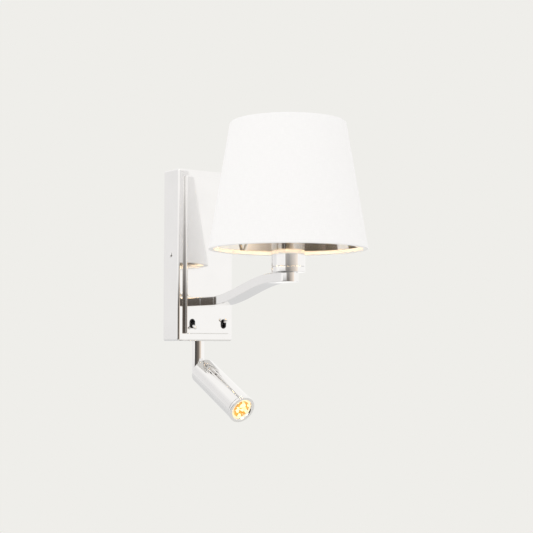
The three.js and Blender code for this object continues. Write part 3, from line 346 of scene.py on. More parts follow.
def as_object(name, mesh):
    """An object in the scene from a mesh that is still being built."""
    data = bpy.data.meshes.new(name)
    mesh.to_mesh(data)
    mesh.free()
    made = bpy.data.objects.new(name, data)
    bpy.context.scene.collection.objects.link(made)
    return made


def settle(piece):
    """Makes a piece's modifiers part of its mesh."""
    bpy.context.view_layer.update()
    graph = bpy.context.evaluated_depsgraph_get()
    mesh = bpy.data.meshes.new_from_object(piece.evaluated_get(graph))
    piece.modifiers.clear()
    piece.data = mesh


def cut_away(piece, *tools):
    """Cuts tool meshes out of a piece."""
    for tool in tools:
        cutter = as_object("cutter", tool)
        modifier = piece.modifiers.new("cut", "BOOLEAN")
        modifier.object = cutter
        modifier.operation = "DIFFERENCE"
        modifier.solver = "EXACT"
        settle(piece)
        bpy.data.objects.remove(cutter)


def soften(piece, edge):
    """Rounds the sharp edges that cutting left."""
    modifier = piece.modifiers.new("edges", "BEVEL")
    modifier.width = edge
    modifier.segments = 3
    modifier.limit_method = "ANGLE"
    modifier.angle_limit = SHARP
    settle(piece)


def add(name, mesh, finish_name, body, node):
    """Places a mesh as a named piece with its finish, on its body, in place of a CAD node."""
    piece = mesh if isinstance(mesh, bpy.types.Object) else as_object(name, mesh)
    piece.data.shade_smooth()
    piece.data.set_sharp_from_angle(angle=SHARP)
    modifier = piece.modifiers.new("normals", "WEIGHTED_NORMAL")
    modifier.keep_sharp = True
    modifier.weight = 100
    settle(piece)
    piece.data.materials.clear()
    piece.data.materials.append(finish(finish_name))
    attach(piece, body)
    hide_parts(node)
    return piece


def add_on_holder(name, mesh, finish_name, node):
    """Adds a piece drawn about Z, round the lampholder's axis."""
    return add(name, turn(mesh, upright(HOLDER_AXIS)), finish_name, BASE, node)


def add_on_head(name, mesh, finish_name, node):
    """Adds a piece drawn about Z, along the spot head's axis."""
    return add(name, turn(mesh, HEAD_FRAME), finish_name, HEAD, node)


# ---------------------------------------------------------------- finishes


class Shader:
    """A material's nodes, added one at a time round its surface shader. Lengths are in metres."""

    def __init__(self, name):
        self.material = bpy.data.materials.new(name)
        self.material.use_nodes = True
        self.tree = self.material.node_tree
        self.surface = self.tree.nodes["Principled BSDF"]

    def set(self, **values):
        """Sets or links the surface shader's inputs, with _ for a space."""
        for key, value in values.items():
            self.feed(self.surface.inputs[key.replace("_", " ")], value)

    def feed(self, socket, value):
        """Links a socket into another, or sets a constant on it."""
        if isinstance(value, bpy.types.NodeSocket):
            self.tree.links.new(value, socket)
        elif socket.type == "RGBA" and len(value) == 3:
            socket.default_value = (*value, 1)
        else:
            socket.default_value = value

    def node(self, kind, inputs=(), **settings):
        made = self.tree.nodes.new(kind)
        for key, value in settings.items():
            setattr(made, key, value)
        for key, value in dict(inputs).items():
            self.feed(made.inputs[key], value)
        return made

    def place(self, stretch=(1, 1, 1), map_name="Object"):
        """Coordinates in metres, stretched."""
        source = self.node("ShaderNodeTexCoord")
        mapping = self.node("ShaderNodeMapping", {"Vector": source.outputs[map_name], "Scale": stretch})
        return mapping.outputs["Vector"]

    def noise(self, scale, detail=3, rough=0.5, place=None):
        inputs = {"Vector": place or self.place(), "Scale": scale, "Detail": detail, "Roughness": rough}
        return self.node("ShaderNodeTexNoise", inputs).outputs["Fac"]

    def spread(self, value, low, high, start=0.3, stop=0.7):
        """Maps a noise value onto a range."""
        inputs = {"Value": value, "From Min": start, "From Max": stop, "To Min": low, "To Max": high}
        return self.node("ShaderNodeMapRange", inputs).outputs["Result"]

    def mix(self, amount, first, second):
        made = self.node("ShaderNodeMix", data_type="RGBA")
        self.feed(made.inputs["Factor"], amount)
        self.feed(made.inputs["A"], first)
        self.feed(made.inputs["B"], second)
        return made.outputs["Result"]

    def combine(self, first, second, operation="ADD"):
        """Two values as one, added unless told otherwise."""
        return self.node("ShaderNodeMath", {0: first, 1: second}, operation=operation).outputs[0]

    def bump(self, height, strength, distance=0.1 * MM):
        inputs = {"Height": height, "Strength": strength, "Distance": distance}
        return self.node("ShaderNodeBump", inputs).outputs["Normal"]


def shade_of(colour, share):
    """A colour made lighter or darker."""
    return tuple(share * channel for channel in colour)


def metal(name, colour, roughness, haze=0.02, grain=1200, relief=0.03, tone=0.94, stretch=(1, 1, 1)):
    """A metal with drifting polish, fine grain and faint wipe marks."""
    shader = Shader(name)
    drift = shader.noise(28, detail=4)
    fine = shader.noise(grain, detail=2, place=shader.place(stretch))
    marks = shader.noise(60, detail=6, rough=0.7, place=shader.place((1, 1, 14)))
    polish = shader.spread(drift, roughness - haze, roughness + haze)
    shader.set(
        Metallic=1.0, Roughness=shader.combine(polish, shader.spread(marks, 0, haze)),
        Base_Color=shader.mix(shader.spread(drift, 0, 1), colour, shade_of(colour, tone)),
        Normal=shader.bump(fine, relief))
    return shader.material


def plastic(name, colour, roughness, grain=1500, relief=0.15, tone=0.9):
    """A moulded plastic, rubber or fired surface with fine texture and slight tone drift."""
    shader = Shader(name)
    drift = shader.noise(40)
    fine = shader.noise(grain, detail=3)
    shader.set(
        Roughness=shader.spread(fine, roughness - 0.06, roughness + 0.08),
        Base_Color=shader.mix(shader.spread(drift, 0, 1), colour, shade_of(colour, tone)),
        Normal=shader.bump(fine, relief))
    return shader.material


def polished_nickel():
    colours = bpy.context.scene.wall_light_colours
    return metal("polished nickel", tuple(colours.nickel), colours.nickel_roughness, haze=0.018, grain=700,
                 relief=0.006, tone=0.97)


def zinc_steel():
    return metal("zinc plated steel", (0.55, 0.56, 0.58), 0.34, haze=0.09, grain=900, relief=0.12, tone=0.8)


def brass():
    return metal("satin brass", (0.72, 0.54, 0.24), 0.26, haze=0.06, relief=0.06, tone=0.86)


def aluminium():
    return metal("satin aluminium", (0.66, 0.67, 0.69), 0.33, haze=0.05, relief=0.1, stretch=(1, 1, 30))


def gold_reflector():
    """Gold metal with a painted reflection of the lit chip: each facet glows with a different share of amber and
    pale gold.
    """
    shader = Shader("gold reflector")
    cells = shader.node("ShaderNodeTexVoronoi", {"Vector": shader.place(), "Scale": 240.0})
    facet = shader.node("ShaderNodeSeparateColor", {"Color": cells.outputs["Color"]}).outputs[0]
    fine = shader.noise(900, detail=2)
    glow_amber = (0.85, 0.36, 0.06)
    glow_pale_gold = (1.0, 0.82, 0.50)
    # painted reflection: the facets emit these colours, standing for the chip's light thrown back
    shader.set(
        Metallic=1.0, Roughness=shader.spread(fine, 0.08, 0.14), Base_Color=(0.45, 0.27, 0.08),
        Emission_Color=shader.mix(shader.spread(facet, 0, 1, 0.4, 0.6), glow_amber, glow_pale_gold),
        Emission_Strength=shader.spread(facet, 0.6, 1.7, 0.42, 0.58), Normal=shader.bump(fine, 0.05))
    return shader.material


def foil_lining():
    """Metallised foil with the slight ripple of a glued skin."""
    foil = tuple(bpy.context.scene.wall_light_colours.foil)
    shader = Shader("foil lining")
    ripple = shader.noise(70, detail=2)
    fine = shader.noise(900, detail=2)
    height = shader.combine(ripple, shader.combine(fine, 0.05, "MULTIPLY"))
    shader.set(
        Metallic=0.93, Roughness=shader.spread(ripple, 0.05, 0.10),
        Base_Color=shader.mix(shader.spread(ripple, 0, 1), foil, shade_of(foil, 0.93)),
        Normal=shader.bump(height, 0.12, 0.4 * MM))
    return shader.material


def shade_fabric():
    """Fine plain weave with slubs, threads running round the shade and up it."""
    colours = bpy.context.scene.wall_light_colours
    cloth = tuple(colours.fabric)
    shader = Shader("shade fabric")
    pitch = 2 * math.pi / colours.thread / 20  # the wave texture repeats 20 times in 2 pi
    threads = []
    for direction in ("X", "Y"):
        inputs = {"Vector": shader.place(map_name="UV"), "Scale": pitch, "Distortion": 0.6, "Detail": 1.0}
        threads.append(shader.node("ShaderNodeTexWave", inputs, bands_direction=direction).outputs["Fac"])
    weave = shader.combine(threads[0], threads[1], "MAXIMUM")
    slub_round = shader.noise(120, detail=3, place=shader.place((1, 22, 1), "UV"))
    slub_up = shader.noise(120, detail=3, place=shader.place((22, 1, 1), "UV"))
    slubs = shader.combine(slub_round, slub_up, "MULTIPLY")
    height = shader.combine(weave, shader.combine(slubs, 1.5, "MULTIPLY"))
    tone = shader.spread(slubs, 0, 1, 0.16, 0.34)
    shader.set(
        Base_Color=shader.mix(tone, shade_of(cloth, 0.965), cloth), Roughness=shader.spread(slubs, 0.78, 0.9),
        Sheen_Weight=0.15, Sheen_Roughness=0.4, Specular_IOR_Level=0.2, Normal=shader.bump(height, 0.35))
    return shader.material


def glowing(name, colour, strength, low=0.85):
    """A lit, frosted surface with a slightly uneven glow."""
    shader = Shader(name)
    drift = shader.noise(45, detail=2)
    fine = shader.noise(1600, detail=2)
    shader.set(
        Base_Color=(0.92, 0.88, 0.8), Roughness=shader.spread(fine, 0.3, 0.45), Emission_Color=colour,
        Emission_Strength=shader.spread(drift, low * strength, strength), Normal=shader.bump(fine, 0.1))
    return shader.material


def frosted_glass():
    return glowing("frosted lit glass", tuple(bpy.context.scene.wall_light_colours.glow), 26.0)


def led_phosphor():
    return glowing("led phosphor", (1.0, 0.78, 0.42), 1.2)


# distances over the lens's profile, from the middle of its back: where the rim is passed and the ring of painted
# glow begins, where the painted glow fades and where it ends
LENS_FRONT = 15.6 * MM
LENS_GLOW_FADE = 17.6 * MM
LENS_GLOW_END = 19.0 * MM


def clear_glass():
    """A clear moulded lens, with a painted glow in the ring at its edge, standing for light caught there."""
    shader = Shader("clear lens")
    fine = shader.noise(500, detail=2)
    along = shader.node("ShaderNodeSeparateXYZ", {"Vector": shader.place(map_name="UV")}).outputs["Y"]
    front = shader.spread(along, 0, 1, LENS_FRONT - 0.2 * MM, LENS_FRONT)
    # painted glow: the ring near the edge emits warm light and is less clear than the rest of the lens
    ring = shader.combine(front, shader.spread(along, 1, 0, LENS_GLOW_FADE, LENS_GLOW_END), "MULTIPLY")
    shader.set(
        Base_Color=(0.20, 0.15, 0.08), Alpha=shader.spread(ring, 0.08, 0.85, 0, 1), Specular_IOR_Level=0.5,
        Emission_Color=(1.0, 0.88, 0.58), Emission_Strength=shader.combine(ring, 1.1, "MULTIPLY"),
        Normal=shader.bump(fine, 0.02), Roughness=shader.spread(fine, 0.02, 0.07))
    return shader.material


FINISHES = {
    "polished_nickel": polished_nickel,
    "zinc_steel": zinc_steel,
    "brass": brass,
    "aluminium": aluminium,
    "gold_reflector": gold_reflector,
    "foil_lining": foil_lining,
    "shade_fabric": shade_fabric,
    "frosted_glass": frosted_glass,
    "led_phosphor": led_phosphor,
    "clear_glass": clear_glass,
    "black_plastic": lambda: plastic("black plastic", (0.012, 0.012, 0.013), 0.34),
    "white_plastic": lambda: plastic("white plastic", (0.80, 0.79, 0.76), 0.38, relief=0.1),
    "rubber": lambda: plastic("rubber", (0.018, 0.018, 0.018), 0.7, relief=0.4),
    "ceramic": lambda: plastic("ceramic", (0.74, 0.71, 0.65), 0.45, grain=800, relief=0.3),
    "board_white": lambda: plastic("circuit board", (0.82, 0.82, 0.79), 0.4, relief=0.08),
    "cable_sheath": lambda: plastic("cable sheath", (0.70, 0.70, 0.68), 0.42, relief=0.12),
    "brown_wire": lambda: plastic("brown wire", (0.20, 0.09, 0.04), 0.4, relief=0.12),
}
made_finishes = {}


def finish(name):
    """The material of a record slot, made once."""
    if name not in made_finishes:
        made_finishes[name] = FINISHES[name]()
    return made_finishes[name]


# ---------------------------------------------------------------- cover, panel and side screws


class WALL_LIGHT_OT_cover(bpy.types.Operator):
    """Box cover, raised mirror panel and the two side screws"""

    bl_idname = "wall_light.cover"
    bl_label = "Cover and panel"

    def execute(self, context):
        sizes = context.scene.wall_light_sizes
        low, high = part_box("cover_box")
        self.cover(sizes, low, high)
        self.panel(sizes, low.y)
        for side, name in ((-1, "left"), (1, "right")):
            self.screw(side, name)
        return {"FINISHED"}

    def panel(self, sizes, front):
        """A thick plate on the cover's front, rounded towards the room, with a hole for each switch."""
        low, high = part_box("face_panel")
        back = Vector((high.x, front - SEAT, high.z))
        mesh = slab(low, back, sizes.panel_edge, sides=lambda e: min(v.co.y for v in e.verts) < back.y - SEAT)
        piece = as_object("mirror_panel", mesh)
        cut_away(piece, *(self.switch_hole(name) for name in ("left", "right")))
        add("mirror_panel", piece, "polished_nickel", BASE, "face_panel")

    def switch_hole(self, name):
        """The round-ended hole that a switch insert sits in."""
        low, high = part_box(f"switch_insert_{name}")
        middle = (low + high) / 2
        outline = stadium(high.x - low.x + SEAT, high.z - low.z + SEAT)
        depths = (high.y + 5 * MM, low.y - 5 * MM)
        return loft([[(middle.x + p.x, y, middle.z + p.y) for p in outline] for y in depths], capped=True)

    def cover(self, sizes, low, high):
        """A sheet box that is open towards the wall, with a hole below for the stem."""
        mesh = slab(low, high, sizes.cover_edge, sides=lambda e: min(v.co.y for v in e.verts) < high.y - SEAT)
        open_side = [face for face in mesh.faces if all(high.y - v.co.y < SEAT for v in face.verts)]
        bmesh.ops.delete(mesh, geom=open_side, context="FACES")
        piece = as_object("cover", mesh)
        modifier = piece.modifiers.new("sheet", "SOLIDIFY")
        modifier.thickness = sizes.cover_sheet
        modifier.offset = -1
        modifier.use_even_offset = True
        settle(piece)
        stem_low, stem_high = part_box("stem_tube")
        radius = (stem_high.x - stem_low.x) / 2 + SEAT
        hole = turned([(0, low.z - 5 * MM), (radius, low.z - 5 * MM), (radius, low.z + 5 * MM),
                       (0, low.z + 5 * MM)], 64, closed=False)
        switch_holes = (self.switch_hole(name) for name in ("left", "right"))
        cut_away(piece, turn(hole, upright(centre_of("stem_tube"))), *switch_holes)
        add("cover", piece, "polished_nickel", BASE, "cover_box")

    def screw(self, side, name):
        """A small slotted round head."""
        node = f"cover_screw_{name}"
        low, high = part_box(node)
        middle = centre_of(node)
        radius = (high.z - low.z) / 2
        top = high.x if side > 0 else -low.x
        inner = -high.x if side < 0 else low.x
        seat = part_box("cover_box")[1].x + SEAT
        shank = 0.6 * radius
        piece = as_object(f"side_screw_{name}", turned([
            (0, inner), (shank, inner), (shank, seat), (radius, seat, 0.1 * MM),
            (radius, (seat + top) / 2, 0.4 * MM), (0.6 * radius, top, 0.5 * MM), (0, top)], 48, closed=False))
        slot = slab(Vector((-0.35 * MM, -2 * radius, (seat + top) / 2)),
                    Vector((0.35 * MM, 2 * radius, top + MM)))
        cut_away(piece, slot)
        soften(piece, 0.06 * MM)
        axis = Matrix.Translation((0, middle.y, middle.z)) @ Matrix.Rotation(side * math.pi / 2, 4, "Y")
        piece.data.transform(axis)
        add(piece.name, piece, "polished_nickel", BASE, node)


# ---------------------------------------------------------------- arm


class WALL_LIGHT_OT_arm(bpy.types.Operator):
    """Flat arm with a gentle S sweep and a full-radius end"""

    bl_idname = "wall_light.arm"
    bl_label = "Arm"

    def execute(self, context):
        sizes = context.scene.wall_light_sizes
        low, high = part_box("arm")
        half_width = (high.x - low.x) / 2
        half = sizes.arm_thickness / 2
        stations = self.stations(sizes, low, high, half)
        edge = sizes.arm_edge
        root, level = stations[0]
        rings = [self.section(root, level, half_width - edge, half - edge, edge)]
        stations[0] = (root + Vector((edge, 0)), level)
        rings += [self.section(*station, half_width, half, edge) for station in stations]
        tip = Vector((-HOLDER_AXIS.y, high.z - half))
        steps = 16
        for step in range(1, steps + 1):
            angle = 0.495 * math.pi * step / steps
            point = tip + Vector((half_width * math.sin(angle), 0))
            narrow = half_width * math.cos(angle)
            rings.append(self.section(point, level, narrow, half, edge))
        add("swept_arm", loft(rings, capped=True), "polished_nickel", BASE, "arm")
        return {"FINISHED"}

    def stations(self, sizes, low, high, half):
        """Points of the arm's middle line as (depth, height), each with its upward normal."""
        root = Vector((-high.y, low.z + half))
        tip = Vector((-HOLDER_AXIS.y, high.z - half))
        start = root + Vector((sizes.arm_root_straight, 0))
        end = tip - Vector((sizes.arm_tip_straight, 0))
        third = Vector(((end.x - start.x) / 3, 0))
        level = Vector((0, 1))
        result = [(root, level)]
        steps = 40
        for step in range(steps + 1):
            t = step / steps
            s = 1 - t
            leaving = s**3 * start + 3 * s * s * t * (start + third)
            arriving = 3 * s * t * t * (end - third) + t**3 * end
            along = s * s * third + 2 * s * t * (end - start - 2 * third) + t * t * third
            result.append((leaving + arriving, Vector((-along.y, along.x)).normalized()))
        return result + [(tip, level)]

    def section(self, point, normal, half_width, half, edge):
        """A rounded rectangle across the arm."""
        round_by = min(edge, 0.9 * half_width)
        corners = [(-half_width, -half, round_by), (half_width, -half, round_by),
                   (half_width, half, round_by), (-half_width, half, round_by)]
        ring = []
        for across, up in rounded(corners, True):
            place = point + normal * up
            ring.append((across, -place.x, place.y))
        return ring


# ---------------------------------------------------------------- lampholder and bulb


class WALL_LIGHT_OT_lampholder(bpy.types.Operator):
    """Lampholder cap and shell, with the dark groove between them"""

    bl_idname = "wall_light.lampholder"
    bl_label = "Lampholder"

    def execute(self, context):
        sizes = context.scene.wall_light_sizes
        low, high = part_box("holder_shell")
        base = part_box("holder_cap")[0].z
        spigot_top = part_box("holder_cap")[1].z
        radius = (high.x - low.x) / 2
        sheet = 1.2 * MM
        edge = 0.5 * MM
        bore = 4.2 * MM
        cap_top = low.z - sizes.holder_groove
        spigot = radius - sheet - 0.2 * MM
        cap = turned([
            (bore, base), (radius, base, edge), (radius, cap_top, edge / 2), (spigot, cap_top),
            (spigot, spigot_top), (spigot - sheet, spigot_top), (spigot - sheet, base + sheet),
            (bore, base + sheet)], sizes.facets)
        add_on_holder("lampholder_cap", cap, "polished_nickel", "holder_cap")
        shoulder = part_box("shade_ring_nut")[0].z - 2 * SEAT - CARRIER_SHEET
        neck = radius - 2.7 * MM
        shell = turned([
            (radius - sheet, low.z), (radius, low.z, edge / 2), (radius, shoulder, 2 * edge),
            (neck, shoulder, edge / 2), (neck, high.z, edge), (neck - sheet, high.z),
            (neck - sheet, shoulder - sheet), (radius - sheet, shoulder - sheet)], sizes.facets)
        add_on_holder("lampholder_shell", shell, "polished_nickel", "holder_shell")
        return {"FINISHED"}


class WALL_LIGHT_OT_bulb(bpy.types.Operator):
    """Bulb body and its lit, frosted globe"""

    bl_idname = "wall_light.bulb"
    bl_label = "Bulb"

    def execute(self, context):
        sizes = context.scene.wall_light_sizes
        low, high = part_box("bulb_body")
        rim = (high.x - low.x) / 2
        waist = 14 * MM
        height = high.z - low.z
        body = turned([
            (0, low.z), (waist, low.z, MM), (waist + 1.5 * MM, low.z + 0.3 * height, 8 * MM),
            (rim - 3.5 * MM, low.z + 0.78 * height, 8 * MM), (rim, high.z), (0, high.z)],
            sizes.facets, closed=False)
        add_on_holder("bulb_housing", body, "white_plastic", "bulb_body")
        low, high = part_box("bulb_globe")
        radius = (high.x - low.x) / 2
        middle = high.z - radius
        outline = [(0, low.z), (rim, low.z), (rim + MM, low.z + 4 * MM, 3 * MM)]
        outline += [(point.x, middle + point.y) for point in arc(radius, 0, 0.25, 24)]
        globe = turned(outline, sizes.facets, closed=False)
        add_on_holder("lit_globe", globe, "frosted_glass", "bulb_globe")
        return {"FINISHED"}


# ---------------------------------------------------------------- shade


class WALL_LIGHT_OT_shade(bpy.types.Operator):
    """Tapered fabric shade with turned-in hems, a glued seam and a foil lining"""

    bl_idname = "wall_light.shade"
    bl_label = "Shade"

    def execute(self, context):
        sizes = context.scene.wall_light_sizes
        low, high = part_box("shade_fabric")
        bottom = (high.x - low.x) / 2
        top = radius_at_top("shade_fabric", HOLDER_AXIS)
        slope = (bottom - top) / (high.z - low.z)
        sheet = sizes.fabric_sheet
        hem = sizes.hem_height
        inset = high.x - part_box("shade_wire_lower")[1].x + 2 * sizes.wire_radius + SEAT
        fold = 0.4 * MM
        bend = 1.3 * MM

        def radius(height):
            return bottom - slope * (height - low.z)

        lip_low = low.z + hem
        lip_high = high.z - hem
        outline = [
            (radius(lip_low) - sheet, lip_low + 2 * MM), (radius(low.z) - sheet, low.z + fold, bend / 2),
            (radius(low.z) - inset, low.z + fold, bend), (radius(lip_low) - inset, lip_low),
            (radius(lip_low) - inset - fold, lip_low), (radius(low.z) - inset - fold, low.z, bend),
            (radius(low.z), low.z, bend), (radius(high.z), high.z, bend),
            (radius(high.z) - inset - fold, high.z, bend), (radius(lip_high) - inset - fold, lip_high),
            (radius(lip_high) - inset, lip_high), (radius(high.z) - inset, high.z - fold, bend),
            (radius(high.z) - sheet, high.z - fold, bend / 2), (radius(lip_high) - sheet, lip_high - 2 * MM)]
        facets = 2 * sizes.facets
        skin = turned(outline, facets)
        seam = self.seam(sizes, radius, low.z, high.z)
        fabric = add_on_holder("shade_skin", joined(skin, seam), "shade_fabric", "shade_fabric")
        gap = sheet + SEAT
        lining_sheet = 0.6 * MM
        base = low.z + 2 * fold
        rim = high.z - 2 * fold
        lining = turned([
            (radius(base) - gap, base), (radius(rim) - gap, rim), (radius(rim) - gap - lining_sheet, rim),
            (radius(base) - gap - lining_sheet, base)], facets)
        add_on_holder("foil_skin", lining, "foil_lining", "shade_lining")
        return {"FINISHED"}

    def seam(self, sizes, radius, low, high):
        """The overlap on the wall side, where one end of the fabric is glued over the other."""
        proud = 0.25 * MM
        rows = []
        steps = 8
        spread = sizes.seam_width / radius(low)
        for height in (low + 0.6 * MM, high - 0.6 * MM):
            for reach in (radius(height) + proud, radius(height) - 0.1 * MM):
                angles = [math.pi / 2 + spread * (i / steps - 0.5) for i in range(steps + 1)]
                rows.append([(reach * math.cos(a), reach * math.sin(a), height) for a in angles])
        outer_low, inner_low, outer_high, inner_high = rows
        rings = [outer_low, outer_high, inner_high, inner_low]
        strip = [list(column) for column in zip(*rings)]
        return loft(strip, capped=True)


class WALL_LIGHT_OT_shade_frame(bpy.types.Operator):
    """Wire rings, the three-armed carrier and its ring nut"""

    bl_idname = "wall_light.shade_frame"
    bl_label = "Shade frame"

    def execute(self, context):
        sizes = context.scene.wall_light_sizes
        for node in ("shade_wire_lower", "shade_wire_upper"):
            low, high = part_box(node)
            across = (high.x - low.x) / 2 - sizes.wire_radius
            height = (low.z + high.z) / 2
            section = [(across + p.x, height + p.y) for p in arc(sizes.wire_radius, 0, 1, 16)[:-1]]
            add_on_holder(f"{node}_ring", turned(section, 2 * sizes.facets), "zinc_steel", node)
        self.carrier(sizes)
        self.ring_nut()
        return {"FINISHED"}

    def carrier(self, sizes):
        """A flat ring on the lampholder's shoulder with three wires to the lower ring."""
        nut_low, nut_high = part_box("shade_ring_nut")
        wire_low, wire_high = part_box("shade_wire_lower")
        top = nut_low.z - SEAT
        base = top - CARRIER_SHEET
        middle = (top + base) / 2
        inner = 17.3 * MM
        outer = 22.9 * MM
        edge = 0.4 * MM
        hub = turned([(inner, base, edge), (outer, base, edge), (outer, top, edge), (inner, top, edge)],
                     sizes.facets)
        across = (wire_high.x - wire_low.x) / 2 - sizes.wire_radius
        end_height = wire_high.z + sizes.wire_radius + 2 * SEAT
        path = bent(Vector((outer - MM, 0, middle)), Vector((across - 14 * MM, 0, middle)),
                    Vector((across - MM, 0, end_height)), 6 * MM)
        arms = []
        for index in range(3):
            spin = Matrix.Rotation(math.pi / 2 + 2 * math.pi * index / 3, 4, "Z")
            arms.append(turn(wire(path, sizes.wire_radius), spin))
        add_on_holder("shade_carrier", joined(hub, *arms), "zinc_steel", "shade_spider")

    def ring_nut(self):
        """A moulded ring with finger notches."""
        low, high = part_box("shade_ring_nut")
        outer = (high.x - low.x) / 2
        inner = 17.6 * MM
        notches = 12
        depth = 1.3 * MM
        edge = 0.7 * MM

        def ripple(angle):
            return 1 - depth / outer * max(0.0, math.cos(notches * angle)) ** 4

        skirt = turned([
            (inner, low.z, edge), (outer, low.z, edge), (outer, high.z, edge), (inner, high.z, edge)],
            16 * notches, ripple=ripple)
        add_on_holder("notched_ring", skirt, "black_plastic", "shade_ring_nut")


# ---------------------------------------------------------------- switches


class WALL_LIGHT_OT_switches(bpy.types.Operator):
    """Two toggle switches: a black insert with a slot, and a bat lever"""

    bl_idname = "wall_light.switches"
    bl_label = "Switches"

    def execute(self, context):
        sizes = context.scene.wall_light_sizes
        for side, name in ((-1, "left"), (1, "right")):
            self.insert(name)
            self.lever(sizes, side, name)
        return {"FINISHED"}

    def insert(self, name):
        """A rounded insert, crowned in front, with a slot for the lever."""
        node = f"switch_insert_{name}"
        low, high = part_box(node)
        middle = centre_of(node)
        width = high.x - low.x
        height = high.z - low.z
        rings = []
        for depth, share in ((high.y, 1), (low.y + 0.5 * MM, 1), (low.y + 0.15 * MM, 0.95), (low.y, 0.86)):
            shrink = (1 - share) * width
            outline = stadium(width - shrink, height - shrink)
            rings.append([(middle.x + p.x, depth, middle.z + p.y) for p in outline])
        piece = as_object(f"toggle_insert_{name}", loft(rings, capped=True))
        slot = stadium(4.4 * MM, 9.4 * MM)
        depths = (high.y - 1.5 * MM, low.y - MM)
        slot_rings = [[(middle.x + p.x, y, middle.z + p.y) for p in slot] for y in depths]
        cut_away(piece, loft(slot_rings, capped=True))
        soften(piece, 0.12 * MM)
        add(piece.name, piece, "black_plastic", BASE, node)

    def lever(self, sizes, side, name):
        """A bat lever that swells towards its rounded tip."""
        pivot = joint_place(f"switch_{name}")
        length = 13 * MM
        neck = sizes.lever_radius
        tip = sizes.lever_tip_radius
        bat = turned([
            (0, 0), (neck, 0), (neck, 3 * MM, MM), (0.95 * tip, length - 3.4 * MM, 2 * MM),
            (tip, length - 1.6 * MM, 1.2 * MM), (0.72 * tip, length, 1.4 * MM), (0, length)],
            48, closed=False)
        half = 1.9 * MM
        edge = 0.2 * MM
        hub = turned([(0, -half), (half, -half, edge), (half, half, edge), (0, half)], 48, closed=False)
        turn(hub, Matrix.Rotation(math.pi / 2, 4, "Y"))
        pose = Matrix.Translation(pivot) @ Matrix.Rotation(math.pi / 2 - side * LEVER_TILT, 4, "X")
        add(f"toggle_lever_{name}", turn(joined(bat, hub), pose), "polished_nickel", f"lever_{name}",
            f"switch_lever_{name}")


# ---------------------------------------------------------------- spot stem and head


class WALL_LIGHT_OT_stem(bpy.types.Operator):
    """Spot stem with its slotted round end, and the tilt pin"""

    bl_idname = "wall_light.stem"
    bl_label = "Spot stem"

    def execute(self, context):
        sizes = context.scene.wall_light_sizes
        low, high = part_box("stem_tube")
        radius = (high.x - low.x) / 2
        middle = centre_of("stem_tube")
        roof = TILT_PIVOT.z + CLEVIS_DEPTH
        bore = 5 * MM
        floor = roof + CLEVIS_WEB
        rod = turned([(0, low.z), (radius, low.z), (radius, high.z, 0.3 * MM), (bore, high.z), (bore, floor),
                      (0, floor)], sizes.facets, closed=False)
        piece = as_object("slotted_stem", turn(rod, upright(middle)))
        slot = slab(Vector((-sizes.clevis_slot / 2, middle.y - 2 * radius, low.z - MM)),
                    Vector((sizes.clevis_slot / 2, middle.y + 2 * radius, roof)))
        cut_away(piece, slot, self.offcut(radius))
        soften(piece, 0.25 * MM)
        add("slotted_stem", piece, "polished_nickel", STEM, "stem_tube")
        pin_low, pin_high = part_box("tilt_pin")
        half = pin_high.x
        pin_radius = (pin_high.z - pin_low.z) / 2
        edge = 0.3 * MM
        pin = turned([(0, -half), (pin_radius, -half, edge), (pin_radius, half, edge), (0, half)], 48,
                     closed=False)
        turn(pin, Matrix.Translation(TILT_PIVOT) @ Matrix.Rotation(math.pi / 2, 4, "Y"))
        add("pivot_pin", pin, "zinc_steel", STEM, "tilt_pin")
        return {"FINISHED"}

    def offcut(self, radius):
        """What is cut from the stem's end to round it about the pin."""
        far = 2 * radius
        end = arc(radius + 0.2 * MM, 0.5, 1, 24)
        outline = [(-far, 0), *end, (far, 0), (far, -far), (-far, -far)]
        return loft([[TILT_PIVOT + Vector((x, y, z)) for y, z in outline] for x in (-far, far)], capped=True)


